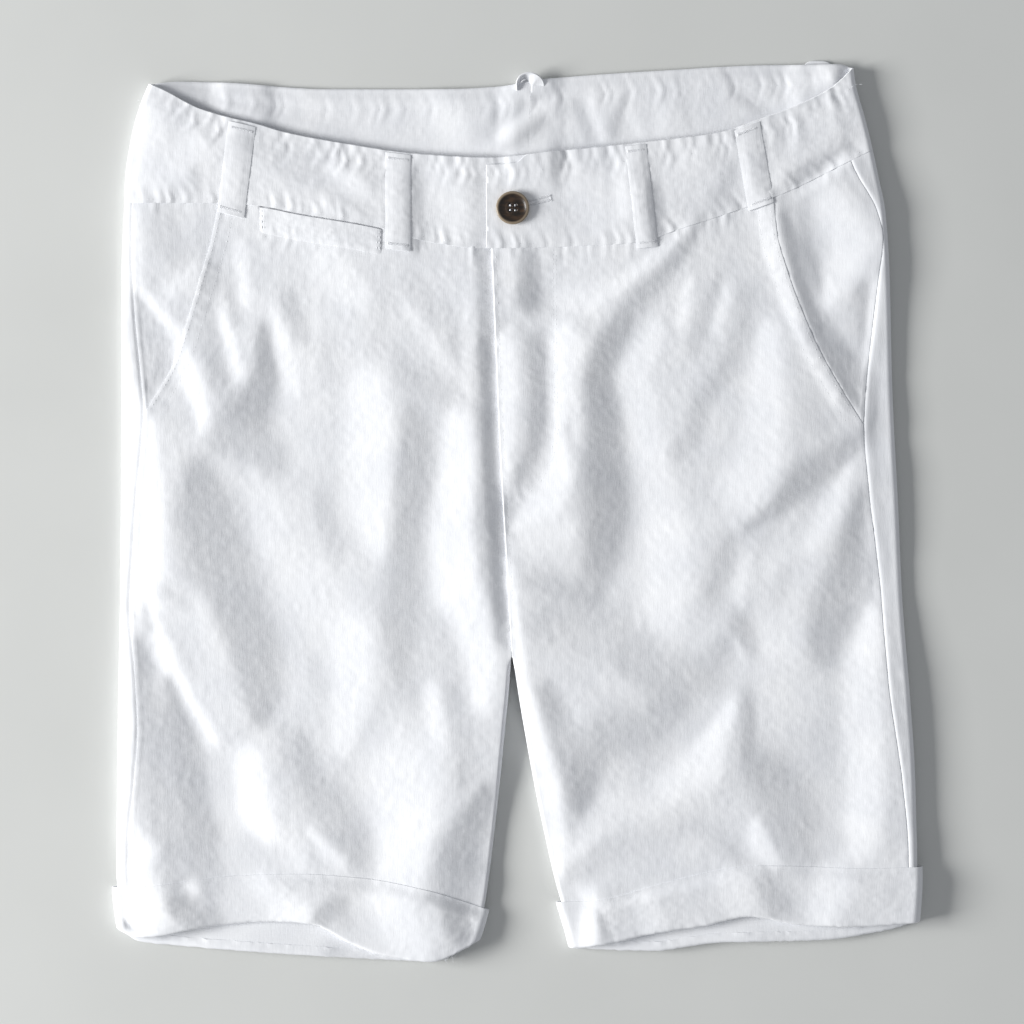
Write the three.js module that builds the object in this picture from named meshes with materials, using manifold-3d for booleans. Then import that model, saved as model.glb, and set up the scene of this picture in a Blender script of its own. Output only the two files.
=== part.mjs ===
// Bermuda shorts in washed linen, laid flat on their back with the cuffs turned up.
// Millimetres. +X is the wearer's left, +Y runs up to the waist, +Z is up from the surface they lie on.
import * as THREE from "three";
import { mergeVertices } from "three/addons/utils/BufferGeometryUtils.js";
import Module from "manifold-3d";

// Cloth thicknesses, and the clearance kept between pieces
const CLOTH = 1.2;
const BAND = 2.2;
const CUFF = 2.0;
const LOOP = 1.4;
const WELT = 1.0;
const SEAM_GAP = 0.3;
const HALF_GAP = SEAM_GAP / 2;
const WAIST_SEAM_GAP = 0.6;
const BACK_SEAM_GAP = 1.2;
const LAID_GAP = 0.5;
const POCKET_GAP = 0.7;
const TAB_GAP = 0.8;
const BUTTON_GAP = 0.8;

// Heights of the front's outer face over the surface
const BODY_HEIGHT = 5.9;
const WAIST_HEIGHT = 7.2;
const HEM_HEIGHT = 7.0;
const BAND_PROUD = 0.5;

// Rounded sides, as radii seen from above
const OUTER_ROUND = 3.6;
const INNER_ROUND = 2.6;
const CUFF_OUTSET = 3.3;
const CUFF_ROUND = 5.0;

// Laps: how far one edge runs under the next, and over what width it sinks to get there
const POCKET_LAP = 6;
const FLY_LAP = 6;
const TAB_LAP = 24;
const LAP_RAMP = 12;

// Landmarks
const CROTCH_X = -2.5;
const CROTCH_Y = -86.5;
const CENTRE_BACK_TOP_X = 9;
const CENTRE_BACK_TOP_Y = 258;
const TAB_EDGE_X = -17.5;
const HEM_TURN = 3;
const POCKET_STEP = 1.5;
const INSEAM_DEGREES = 4;

// Where the front rises over what lies under it: full up to one distance from it, and gone at the other
const CUFF_REACH = { full: 12, gone: 30 };
const TAB_REACH = { full: 22, gone: 45 };
const LAP_REACH = { full: 12, gone: 24 };

// Lengths over which the cloth changes level along the leg
const WAIST_EASE = { below: 35, above: 4 };
const BAND_EASE = 4;
const FLY_EASE = 30;
const MOUTH_EASE = 20;
const CROTCH_EASE = 12;
const FLY_LAP_EASE = { from: 16, to: 46 };
const COVER_BLEND = 0.8;

// Share of the folds that is left in the waistband and in the cuffs
const FOLDS_AT_WAIST = 0.25;
const FOLDS_AT_HEM = 0.2;

// Button
const BUTTON_X = -2;
const BUTTON_Y = 181;
const BUTTON_RADIUS = 10;
const BUTTON_HEIGHT = 3.4;
const BUTTON_HOLE_RADIUS = 1.1;
const BUTTON_HOLE_SPREAD = 2.1;
const BUTTON_SIDES = 28;

// Outer edges of both legs, from the waist corner down to the hem
const OUTER_EDGE = [
  { y: 265, right: -214, left: 202 },
  { y: 255, right: -220, left: 203.5 },
  { y: 235, right: -227.5, left: 209 },
  { y: 217, right: -231.5, left: 213.5 },
  { y: 198, right: -234, left: 217.5 },
  { y: 180, right: -234.5, left: 221 },
  { y: 145, right: -236, left: 223.5 },
  { y: 72, right: -236, left: 225.5 },
  { y: 0, right: -236.5, left: 229 },
  { y: -54, right: -237, left: 231.5 },
  { y: -113, right: -238, left: 236 },
  { y: -161, right: -238.5, left: 239 },
  { y: -215, right: -239, left: 240 },
  { y: -264, right: -234, left: 237 },
];

// Inner edges of both legs, from the crotch down to the hem
const INNER_EDGE = [
  { y: CROTCH_Y, right: -2.8, left: -2.2 },
  { y: -107, right: -4.2, left: 1 },
  { y: -125, right: -6, left: 4 },
  { y: -161, right: -9.5, left: 10.5 },
  { y: -197, right: -13.5, left: 18 },
  { y: -221, right: -16.5, left: 23.5 },
  { y: -237, right: -19, left: 28 },
  { y: -252, right: -23, left: 32.5 },
  { y: -266, right: -29, left: 36 },
];

// How far inside each outer edge the visible outseam runs, on the front
const OUTSEAM_INSET = [
  { y: 216, right: 5.5, left: 14 },
  { y: 205, right: 5.5, left: 12.5 },
  { y: 180, right: 5.5, left: 8 },
  { y: 160, right: 5.5, left: 5.5 },
  { y: 57, right: 7.5, left: 5.5 },
  { y: 6, right: 9.5, left: 9 },
  { y: -48, right: 9.5, left: 11.5 },
  { y: -110, right: 8.5, left: 9.5 },
  { y: -200, right: 8, left: 5.5 },
  { y: -266, right: 8, left: 5.5 },
];

// Mouths of the slant pockets
const POCKET_MOUTH = {
  right: [
    { y: 182, x: -178 },
    { y: 163, x: -182 },
    { y: 147, x: -186.5 },
    { y: 120, x: -194.5 },
    { y: 88, x: -205 },
    { y: 70, x: -215 },
    { y: 57.5, x: -222.5 },
  ],
  left: [
    { y: 189, x: 153.5 },
    { y: 165, x: 156 },
    { y: 145, x: 161.5 },
    { y: 120, x: 170.5 },
    { y: 96, x: 181 },
    { y: 72, x: 194.5 },
    { y: 51.5, x: 207.5 },
  ],
};

// Edge of the left front where it laps over the right front, down the fly to the crotch
const FLY_EDGE = [
  { y: 209, x: -17.5 },
  { y: 157, x: -14.5 },
  { y: 97, x: -12 },
  { y: 37, x: -9.5 },
  { y: -41, x: -5 },
  { y: CROTCH_Y, x: CROTCH_X },
];

// Levels across the garment: top and bottom of the waistband, then the cuffs
const FRONT_TOP = [
  { x: -220, y: 255.5 },
  { x: -210, y: 251 },
  { x: -190, y: 240.5 },
  { x: -172, y: 235 },
  { x: -155, y: 231 },
  { x: -138, y: 226 },
  { x: -97, y: 218.5 },
  { x: -62, y: 213.5 },
  { x: -17.5, y: 211 },
  { x: 26, y: 215 },
  { x: 75, y: 220 },
  { x: 122, y: 226 },
  { x: 143, y: 233 },
  { x: 165, y: 241 },
  { x: 188, y: 252.5 },
  { x: 202, y: 265 },
];
const BACK_TOP = [
  { x: -220, y: 255.5 },
  { x: -200, y: 257 },
  { x: -178, y: 256.5 },
  { x: -112, y: 252.5 },
  { x: -40, y: 252.5 },
  { x: -10, y: 254 },
  { x: 18, y: 258.5 },
  { x: 86, y: 263.5 },
  { x: 158, y: 267 },
  { x: 194, y: 267 },
  { x: 202, y: 265 },
];
const FRONT_SEAM = [
  { x: -234.5, y: 184 },
  { x: -208, y: 184 },
  { x: -180, y: 184 },
  { x: -154, y: 182.5 },
  { x: -130, y: 178 },
  { x: -82, y: 169.5 },
  { x: -55, y: 161.5 },
  { x: -18, y: 157 },
  { x: 50, y: 159 },
  { x: 75, y: 161 },
  { x: 96, y: 168 },
  { x: 134, y: 180.5 },
  { x: 160, y: 190 },
  { x: 195, y: 207 },
  { x: 213, y: 216 },
];
const BACK_SEAM = [
  { x: -234.5, y: 184 },
  { x: -215, y: 193 },
  { x: -190, y: 199 },
  { x: -150, y: 203 },
  { x: 0, y: 204 },
  { x: 100, y: 213 },
  { x: 180, y: 217 },
  { x: 213, y: 216 },
];
const CUFF_TOP = {
  right: [
    { x: -243, y: -225 },
    { x: -220, y: -224 },
    { x: -165, y: -218 },
    { x: -130, y: -217 },
    { x: -93, y: -219.5 },
    { x: -57, y: -225.5 },
    { x: -15, y: -239 },
  ],
  left: [
    { x: 24, y: -234 },
    { x: 45, y: -233 },
    { x: 90, y: -222 },
    { x: 126, y: -214 },
    { x: 148, y: -212 },
    { x: 207, y: -213.5 },
    { x: 244, y: -212.5 },
  ],
};
const CUFF_FRONT_FOLD = {
  right: [
    { x: -240, y: -250 },
    { x: -225, y: -255 },
    { x: -212, y: -254 },
    { x: -190, y: -249.5 },
    { x: -165, y: -246.5 },
    { x: -145, y: -245.5 },
    { x: -122, y: -247 },
    { x: -100, y: -258 },
    { x: -78, y: -266 },
    { x: -50, y: -269.5 },
    { x: -22, y: -258 },
  ],
  left: [
    { x: 31, y: -262 },
    { x: 53, y: -259 },
    { x: 80, y: -253 },
    { x: 112, y: -248 },
    { x: 140, y: -242.5 },
    { x: 167, y: -247 },
    { x: 198, y: -248.5 },
    { x: 241, y: -246 },
  ],
};
const CUFF_BACK_FOLD = {
  right: [
    { x: -240, y: -250 },
    { x: -225, y: -258 },
    { x: -200, y: -260.5 },
    { x: -148, y: -264.5 },
    { x: -75, y: -269 },
    { x: -50, y: -270 },
    { x: -22, y: -258 },
  ],
  left: [
    { x: 31, y: -262 },
    { x: 80, y: -263.5 },
    { x: 122, y: -258.5 },
    { x: 183, y: -257 },
    { x: 218, y: -252 },
    { x: 241, y: -246 },
  ],
};

// Where the cuffs' two upright seams show on the front, as insets from the outer and the inner edge
const CUFF_SEAMS = {
  right: { outer: 9, inner: 12 },
  left: { outer: 9, inner: 28 },
};

// Belt loops on the front: middle of the upper and the lower end, and width
const FRONT_LOOPS = [
  { name: "belt_loop_right_side", topX: -163.5, topY: 231, endX: -170.5, endY: 177, width: 16 },
  { name: "belt_loop_right_front", topX: -70.5, topY: 213.5, endX: -70.5, endY: 156, width: 15 },
  { name: "belt_loop_left_front", topX: 71.5, topY: 218.5, endX: 78.5, endY: 157.5, width: 12.5 },
  { name: "belt_loop_left_side", topX: 138, topY: 230, endX: 146.5, endY: 182, width: 15 },
];

// Belt loops on the back, under the band: middle, width and how far they show above the band
const BACK_LOOPS = [
  { name: "belt_loop_back_right", x: -164, width: 15, peek: -1 },
  { name: "belt_loop_back_centre", x: 9, width: 15, peek: 6.5 },
  { name: "belt_loop_back_left", x: 181, width: 15, peek: 2.5 },
];
const BACK_LOOP_THICKNESS = 1.2;
const BACK_LOOP_GAP = 0.4;
const BACK_LOOP_MARGIN = 1;
const BACK_LOOP_CORNER = 2;
const BACK_LOOP_TUCK = 1;
const BACK_LOOP_LIFT = BACK_LOOP_THICKNESS + BACK_LOOP_GAP;
const BACK_LOOP_EASE = 13;
const BACK_LOOP_RISE = { from: -16, to: -2 };

// Where the waistband's underside bends to pass over those loops
const BAND_UNDERSIDE_X = {
  right: [0, -6, -14, -60, -110, -141, -155, -173, -187, -210],
  left: [18, 24, 32, 70, 115, 158, 172, 190],
};

// Coin pocket welt on the right front
const COIN_WELT = { outerX: -153, innerX: -80.5, height: 15 };

// Largest folds of the front. Each runs from x0, y0 down to x1, y1 with a bow to +X at its middle.
// rise is its height, toRight and toLeft are its widths on the wearer's right and left.
const FOLDS = [
  { x0: -213, y0: 60, x1: -172, y1: -120, bow: -4, rise: 2.6, toRight: 16, toLeft: 22 },
  { x0: -200, y0: -60, x1: -150, y1: -190, bow: 0, rise: 1.8, toRight: 12, toLeft: 18 },
  { x0: -222, y0: -40, x1: -185, y1: -210, bow: -8, rise: -2.0, toRight: 20, toLeft: 9 },
  { x0: -138, y0: -90, x1: -110, y1: -205, bow: 0, rise: 1.9, toRight: 14, toLeft: 16 },
  { x0: -170, y0: 130, x1: -158, y1: 50, bow: 0, rise: 2.0, toRight: 9, toLeft: 14 },
  { x0: -76, y0: 120, x1: -78, y1: -40, bow: 3, rise: 2.2, toRight: 18, toLeft: 12 },
  { x0: -30, y0: 70, x1: -30, y1: -90, bow: 0, rise: 1.8, toRight: 18, toLeft: 14 },
  { x0: -55, y0: -80, x1: -48, y1: -215, bow: 0, rise: 2.4, toRight: 22, toLeft: 16 },
  { x0: 75, y0: 150, x1: 40, y1: -30, bow: -14, rise: 2.6, toRight: 14, toLeft: 18 },
  { x0: 78, y0: 60, x1: 70, y1: -60, bow: 0, rise: -1.6, toRight: 12, toLeft: 22 },
  { x0: 40, y0: -60, x1: 118, y1: -122, bow: -6, rise: 1.9, toRight: 24, toLeft: 20 },
  { x0: 60, y0: -190, x1: 140, y1: -110, bow: -14, rise: -2.4, toRight: 16, toLeft: 18 },
  { x0: 142, y0: 8, x1: 205, y1: 50, bow: 4, rise: 2.2, toRight: 10, toLeft: 14 },
  { x0: 184, y0: -10, x1: 172, y1: -100, bow: 4, rise: 2.2, toRight: 14, toLeft: 18 },
  { x0: 148, y0: -140, x1: 150, y1: -212, bow: 4, rise: 2.2, toRight: 10, toLeft: 22 },
  { x0: 150, y0: 140, x1: 120, y1: 40, bow: 0, rise: 1.8, toRight: 16, toLeft: 16 },
];
const FOLD_FADE = 0.22;

const HALVES = [
  { name: "right", side: -1 },
  { name: "left", side: 1 },
];

const LINEN = { color: 0xf1f2f5, roughness: 0.88, metalness: 0 };
const HORN = { color: 0x3a2618, roughness: 0.35, metalness: 0.05 };

// Plain mathematics
const mix = (a, b, t) => a + (b - a) * t;
const clamp = (value, low, high) => Math.min(high, Math.max(low, value));
const softMax = (a, b, width) => 0.5 * (a + b + Math.hypot(a - b, width));

function step(from, to, value) {
  const t = clamp((value - from) / (to - from), 0, 1);
  return t * t * (3 - 2 * t);
}

// A smooth curve through the rows of a table, without overshoot.
function curve(rows, from, to) {
  const sorted = [...rows].sort((a, b) => a[from] - b[from]);
  const slopes = sorted.slice(1).map((row, i) => (row[to] - sorted[i][to]) / (row[from] - sorted[i][from]));
  const tangents = sorted.map((_, i) => {
    const before = slopes[i - 1] ?? slopes[i];
    const after = slopes[i] ?? slopes[i - 1];
    return before * after <= 0 ? 0 : (2 * before * after) / (before + after);
  });
  return (value) => {
    const v = clamp(value, sorted[0][from], sorted.at(-1)[from]);
    const i = clamp(sorted.findIndex((row) => row[from] >= v) - 1, 0, slopes.length - 1);
    const width = sorted[i + 1][from] - sorted[i][from];
    const t = (v - sorted[i][from]) / width;
    const eased = mix(sorted[i][to], sorted[i + 1][to], t * t * (3 - 2 * t));
    return eased + width * t * (1 - t) * ((1 - t) * tangents[i] - t * tangents[i + 1]);
  };
}

const frontTop = curve(FRONT_TOP, "x", "y");
const backTop = curve(BACK_TOP, "x", "y");
const frontSeam = curve(FRONT_SEAM, "x", "y");
const backSeam = curve(BACK_SEAM, "x", "y");
const flyEdge = curve(FLY_EDGE, "y", "x");

// What differs between the two halves: their edges and levels as functions.
for (const half of HALVES) {
  half.outer = curve(OUTER_EDGE, "y", half.name);
  half.leg = curve(INNER_EDGE, "y", half.name);
  half.inset = curve(OUTSEAM_INSET, "y", half.name);
  half.mouth = curve(POCKET_MOUTH[half.name], "y", "x");
  half.cuffTop = curve(CUFF_TOP[half.name], "x", "y");
  half.frontFold = curve(CUFF_FRONT_FOLD[half.name], "x", "y");
  half.backFold = curve(CUFF_BACK_FOLD[half.name], "x", "y");
  half.mouthEnd = POCKET_MOUTH[half.name].at(-1).y;
}
const [RIGHT, LEFT] = HALVES;
const halfAt = (x) => (x < CROTCH_X ? RIGHT : LEFT);
const outseam = (half, y) => half.outer(y) - half.side * half.inset(y);

function centreBack(y) {
  const t = clamp((y - CROTCH_Y) / (CENTRE_BACK_TOP_Y - CROTCH_Y), 0, 1);
  return mix(CROTCH_X, CENTRE_BACK_TOP_X, t);
}

// How far a place lies inside a cuff: 1 from just above its top edge down, 0 well above it.
function inCuff(x, y) {
  return 1 - step(CUFF_REACH.full, CUFF_REACH.gone, y - halfAt(x).cuffTop(x));
}

// Height of the back's outer face: it clears the cuffs and the back belt loops that lie under it.
function lift(x, y) {
  const overCuff = (CUFF + LAID_GAP) * inCuff(x, y);
  const loops = BACK_LOOPS.map((loop) => {
    const edge = loop.width / 2 + BACK_LOOP_MARGIN;
    return 1 - step(edge, edge + BACK_LOOP_EASE, Math.abs(x - loop.x));
  });
  const risen = step(BACK_LOOP_RISE.from, BACK_LOOP_RISE.to, y - backSeam(x));
  return overCuff + BACK_LOOP_LIFT * Math.max(...loops) * risen;
}

// Height of one fold over the resting cloth.
function foldHeight(fold, x, y) {
  const runX = fold.x1 - fold.x0;
  const runY = fold.y1 - fold.y0;
  const length = Math.hypot(runX, runY);
  const along = ((x - fold.x0) * runX + (y - fold.y0) * runY) / (length * length);
  if (along <= 0 || along >= 1) return 0;
  const across = ((y - fold.y0) * runX - (x - fold.x0) * runY) / length - fold.bow * 4 * along * (1 - along);
  const width = across < 0 ? fold.toRight : fold.toLeft;
  const taper = step(0, FOLD_FADE, along) * step(0, FOLD_FADE, 1 - along);
  return fold.rise * taper * Math.exp(-((across / width) ** 2));
}

// Height that an extra layer of that depth takes up at a distance from where it lies.
const layered = (depth, reach, distance) => depth * (1 - step(reach.full, reach.gone, Math.abs(distance)));

// Height that the layers under the front take up: the tab, the fly or the pocket mouth.
function layersUnder(x, y, nearWaist) {
  const half = halfAt(x);
  const tab = layered(BAND + TAB_GAP, TAB_REACH, x - BUTTON_X) * nearWaist;
  const fly = layered(CLOTH + LAID_GAP, LAP_REACH, x - flyEdge(y)) * step(CROTCH_Y - FLY_EASE, CROTCH_Y, y);
  const atMouth = step(half.mouthEnd - MOUTH_EASE, half.mouthEnd, y);
  const mouth = layered(CLOTH + LAID_GAP, LAP_REACH, x - half.mouth(y)) * atMouth;
  return Math.max(tab, fly, mouth);
}

// Height of the front's outer face. The folds fade out in the waistband and the cuffs.
function cover(x, y) {
  const nearWaist = step(-WAIST_EASE.below, WAIST_EASE.above, y - frontSeam(x));
  const nearHem = inCuff(x, y);
  const rest = mix(mix(BODY_HEIGHT, WAIST_HEIGHT, nearWaist), HEM_HEIGHT, nearHem);
  const lively = mix(1, FOLDS_AT_WAIST, nearWaist) * mix(1, FOLDS_AT_HEM, nearHem);
  const folds = FOLDS.reduce((sum, fold) => sum + foldHeight(fold, x, y), 0);
  const inBack = mix(CLOTH, BAND, step(-BAND_EASE, 0, y - backSeam(x)));
  const own = mix(CLOTH, BAND - BAND_PROUD, nearWaist);
  const least = lift(x, y) + inBack + LAID_GAP + layersUnder(x, y, nearWaist) + own;
  return softMax(rest + lively * folds, least, COVER_BLEND);
}

// The columns that a piece's points run through, from the underside round the outer edge to the front.
// rise is 0 on the underside and 1 on the front, and angle runs round an edge.
const spread = (from, to, count) => Array.from({ length: count + 1 }, (_, i) => mix(from, to, i / count));
const under = (t) => ({ part: "under", t, rise: 0 });
const underAt = (x) => ({ part: "underAt", x, rise: 0 });
const top = (t) => ({ part: "top", t, rise: 1 });
const outer = (degrees) => onRound("outer", degrees);
const inner = (degrees) => onRound("inner", degrees);

function onRound(part, degrees) {
  const sine = Math.sin(THREE.MathUtils.degToRad(degrees));
  return { part, degrees, sine, cosine: Math.sqrt(1 - sine * sine), rise: 0.5 + 0.5 * sine };
}

// One point of a layer: a column gives its place round the half, and level its line on front and back.
// x and y each depend on the other, so they are found in a few rounds.
function pointAt(half, layer, column, level) {
  const { side } = half;
  let x = side * 120;
  let y = 0;
  for (let round = 0; round < 8; round += 1) {
    y = mix(level.back(x), level.front(x), riseAt(layer, column, y));
    const outerStart = half.outer(y) + side * (layer.outset - layer.outerRound);
    const innerStart = layer.innerEdge(y, column.rise) + side * layer.innerRound;
    if (column.part === "under") x = mix(innerStart, outerStart, column.t);
    if (column.part === "top") x = mix(layer.from(y, outerStart), layer.to(y, innerStart), column.t);
    if (column.part === "underAt") x = column.x;
    if (column.part === "outer") x = outerStart + side * layer.outerRound * column.cosine;
    if (column.part === "inner") x = innerStart - side * layer.innerRound * column.cosine;
  }
  return new THREE.Vector3(x, y, heightAt(half, layer, column, x, y));
}

// An inner edge is round only where the leg is closed: above the crotch it stays on its own face.
function riseAt(layer, column, y) {
  if (column.part !== "inner") return column.rise;
  return mix(column.degrees >= 0 ? 1 : 0, column.rise, layer.closed(y));
}

function heightAt(half, layer, column, x, y) {
  if (column.part.startsWith("under")) return layer.bottom(x, y);
  if (column.part === "top") return layer.top(x, y);
  const { side } = half;
  const isOuter = column.part === "outer";
  const startX = isOuter
    ? half.outer(y) + side * (layer.outset - layer.outerRound)
    : layer.innerEdge(y, column.rise) + side * layer.innerRound;
  const high = layer.top(startX, y);
  const low = layer.bottom(startX, y);
  const round = mix(low, high, column.rise);
  if (isOuter) return round;
  const flat = column.degrees >= 0 ? layer.top(x, y) : layer.bottom(x, y);
  return mix(flat, round, layer.closed(y));
}

// Rows between two levels.
function levels(from, to, count, skipFirst = false) {
  return spread(0, 1, count)
    .slice(skipFirst ? 1 : 0)
    .map((t) => ({
      front: (x) => mix(from.front(x), to.front(x), t),
      back: (x) => mix(from.back(x), to.back(x), t),
    }));
}
const flatLevel = (y) => ({ front: () => y, back: () => y });
const hemLevel = (half) => ({
  front: (x) => half.frontFold(x) + HEM_TURN,
  back: (x) => half.backFold(x) + HEM_TURN,
});
const waistLevel = {
  front: (x) => frontSeam(x) - WAIST_SEAM_GAP,
  back: (x) => backSeam(x) - BACK_SEAM_GAP,
};

// A wall of cloth: the outer points, the same points moved in by the thickness, and the four edges between.
function wall(grid, side, thickness) {
  const rows = grid.length;
  const columns = grid[0].length;
  const at = (i, j) => grid[clamp(i, 0, rows - 1)][clamp(j, 0, columns - 1)];
  const positions = grid.flat().flatMap((p) => p.toArray());
  // The direction along a row. At the two ends it bends on as the row does.
  const alongRow = (i, j) => {
    if (j > 0 && j < columns - 1) return at(i, j + 1).clone().sub(at(i, j - 1));
    const [end, next, third, sign] = j === 0 ? [0, 1, 2, 1] : [j, j - 1, j - 2, -1];
    const bent = at(i, next).clone().multiplyScalar(4).addScaledVector(at(i, end), -3).sub(at(i, third));
    return bent.multiplyScalar(sign);
  };
  for (let i = 0; i < rows; i += 1) {
    for (let j = 0; j < columns; j += 1) {
      const along = alongRow(i, j);
      const down = at(i + 1, j).clone().sub(at(i - 1, j));
      const out = along.cross(down).multiplyScalar(side).normalize();
      positions.push(...at(i, j).clone().addScaledVector(out, -thickness).toArray());
    }
  }
  const outerIndex = (i, j) => i * columns + j;
  const innerIndex = (i, j) => rows * columns + outerIndex(i, j);
  const faces = [];
  const lastRow = rows - 1;
  const lastColumn = columns - 1;
  const quad = (a, b, c, d) => faces.push(...(side < 0 ? [a, b, c, a, c, d] : [c, b, a, d, c, a]));
  for (let i = 0; i < lastRow; i += 1) {
    for (let j = 0; j < lastColumn; j += 1) {
      quad(outerIndex(i, j + 1), outerIndex(i, j), outerIndex(i + 1, j), outerIndex(i + 1, j + 1));
      quad(innerIndex(i, j), innerIndex(i, j + 1), innerIndex(i + 1, j + 1), innerIndex(i + 1, j));
    }
  }
  for (let j = 0; j < lastColumn; j += 1) {
    const k = j + 1;
    quad(outerIndex(0, j), outerIndex(0, k), innerIndex(0, k), innerIndex(0, j));
    quad(outerIndex(lastRow, k), outerIndex(lastRow, j), innerIndex(lastRow, j), innerIndex(lastRow, k));
  }
  for (let i = 0; i < lastRow; i += 1) {
    const k = i + 1;
    quad(outerIndex(k, 0), outerIndex(i, 0), innerIndex(i, 0), innerIndex(k, 0));
    const [outerTop, outerBottom] = [outerIndex(i, lastColumn), outerIndex(k, lastColumn)];
    quad(outerTop, outerBottom, innerIndex(k, lastColumn), innerIndex(i, lastColumn));
  }
  const geometry = new THREE.BufferGeometry();
  geometry.setAttribute("position", new THREE.Float32BufferAttribute(positions, 3));
  geometry.setIndex(faces);
  geometry.computeVertexNormals();
  return geometry;
}

const shorts = new THREE.Group();

function addPiece(name, geometry, finish) {
  const mesh = new THREE.Mesh(geometry, new THREE.MeshStandardMaterial(finish));
  mesh.name = name;
  shorts.add(mesh);
}

function addLayer(name, half, layer, columns, rows, thickness) {
  const grid = rows.map((level) => columns.map((column) => pointAt(half, layer, column, level)));
  addPiece(name, wall(grid, half.side, thickness), LINEN);
}

// Where the front's inner edge lies. Above the crotch the right front runs on under the left one.
function frontInnerEdge(half, y) {
  if (y <= CROTCH_Y) return half.leg(y);
  const eased = step(CROTCH_Y + FLY_LAP_EASE.from, CROTCH_Y + FLY_LAP_EASE.to, y);
  const lap = half.side < 0 ? FLY_LAP * eased : 0;
  return flyEdge(y) + lap + half.side * SEAM_GAP;
}

function backInnerEdge(half, y) {
  return y <= CROTCH_Y ? half.leg(y) : centreBack(y) + half.side * HALF_GAP;
}

// How far a piece sinks where its edge runs under the next one: distance is 0 at that edge.
const sink = (depth, distance) => depth * (1 - step(0, LAP_RAMP, distance));
const closedLeg = (y) => 1 - step(CROTCH_Y - CROTCH_EASE, CROTCH_Y, y);

function bodyLayer(half) {
  return {
    outset: 0,
    outerRound: OUTER_ROUND,
    innerRound: INNER_ROUND,
    closed: closedLeg,
    bottom: lift,
    top: cover,
    from: (y, outerStart) => outerStart,
    to: (y, innerStart) => innerStart,
    innerEdge: (y) => backInnerEdge(half, y),
  };
}

// The rows of the legs and body, from the waistband seam down to the hem inside the cuff.
function bodyRows(half) {
  const mouthEnd = flatLevel(half.mouthEnd);
  const belowMouth = flatLevel(half.mouthEnd - POCKET_STEP);
  const crotch = flatLevel(CROTCH_Y);
  return [
    ...levels(waistLevel, mouthEnd, 9),
    ...levels(mouthEnd, belowMouth, 1, true),
    ...levels(belowMouth, crotch, 10, true),
    ...levels(crotch, hemLevel(half), 12, true),
  ];
}

function addFront(half) {
  const atMouth = (y) => y > half.mouthEnd - POCKET_STEP / 2;
  const layer = {
    ...bodyLayer(half),
    innerEdge: (y) => frontInnerEdge(half, y),
    from: (y) => (atMouth(y) ? half.mouth(y) : outseam(half, y) - half.side * HALF_GAP),
    top: (x, y) => {
      if (half.side > 0) return cover(x, y);
      const lapped = step(CROTCH_Y, CROTCH_Y + CROTCH_EASE, y);
      return cover(x, y) - lapped * sink(CLOTH + LAID_GAP, flyEdge(y) - x);
    },
  };
  const columns = [...spread(0, 1, 18).map(top), inner(45), inner(INSEAM_DEGREES)];
  addLayer("front_" + half.name, half, layer, columns, bodyRows(half), CLOTH);
}

function addPocketSide(half) {
  const layer = {
    ...bodyLayer(half),
    from: (y) => outseam(half, y) - half.side * HALF_GAP,
    to: (y) => half.mouth(y) - half.side * POCKET_LAP,
    top: (x, y) => cover(x, y) - sink(CLOTH + POCKET_GAP, half.side * (x - half.mouth(y))),
  };
  const rows = levels(waistLevel, flatLevel(half.mouthEnd), 9);
  addLayer("pocket_side_" + half.name, half, layer, spread(0, 1, 5).map(top), rows, CLOTH);
}

function addBack(half) {
  const layer = {
    ...bodyLayer(half),
    to: (y) => outseam(half, y) + half.side * HALF_GAP,
  };
  const columns = [
    inner(-INSEAM_DEGREES),
    inner(-45),
    ...spread(0, 1, 7).map(under),
    ...[-45, 0, 45].map(outer),
    top(0),
    top(1),
  ];
  addLayer("back_" + half.name, half, layer, columns, bodyRows(half), CLOTH);
}

// Each half of the waistband runs from the centre back round the side to the button tab.
function addWaistband(half) {
  const isUnder = half.side < 0;
  const layer = {
    ...bodyLayer(half),
    innerRound: 0,
    innerEdge: (y, rise) => (rise < 0.5 ? centreBack(y) + half.side * HALF_GAP : TAB_EDGE_X),
    to: () => (isUnder ? TAB_EDGE_X + TAB_LAP : TAB_EDGE_X),
    top: (x, y) => {
      const lowered = isUnder ? sink(BAND + TAB_GAP, TAB_EDGE_X - x) : 0;
      return cover(x, y) + BAND_PROUD - lowered;
    },
  };
  const columns = [
    under(0),
    ...BAND_UNDERSIDE_X[half.name].map(underAt),
    under(1),
    ...[-45, 0, 45].map(outer),
    ...spread(0, 1, 17).map(top),
  ];
  const rows = levels({ front: frontTop, back: backTop }, { front: frontSeam, back: backSeam }, 4);
  addLayer("waistband_" + half.name, half, layer, columns, rows, BAND);
}

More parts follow.
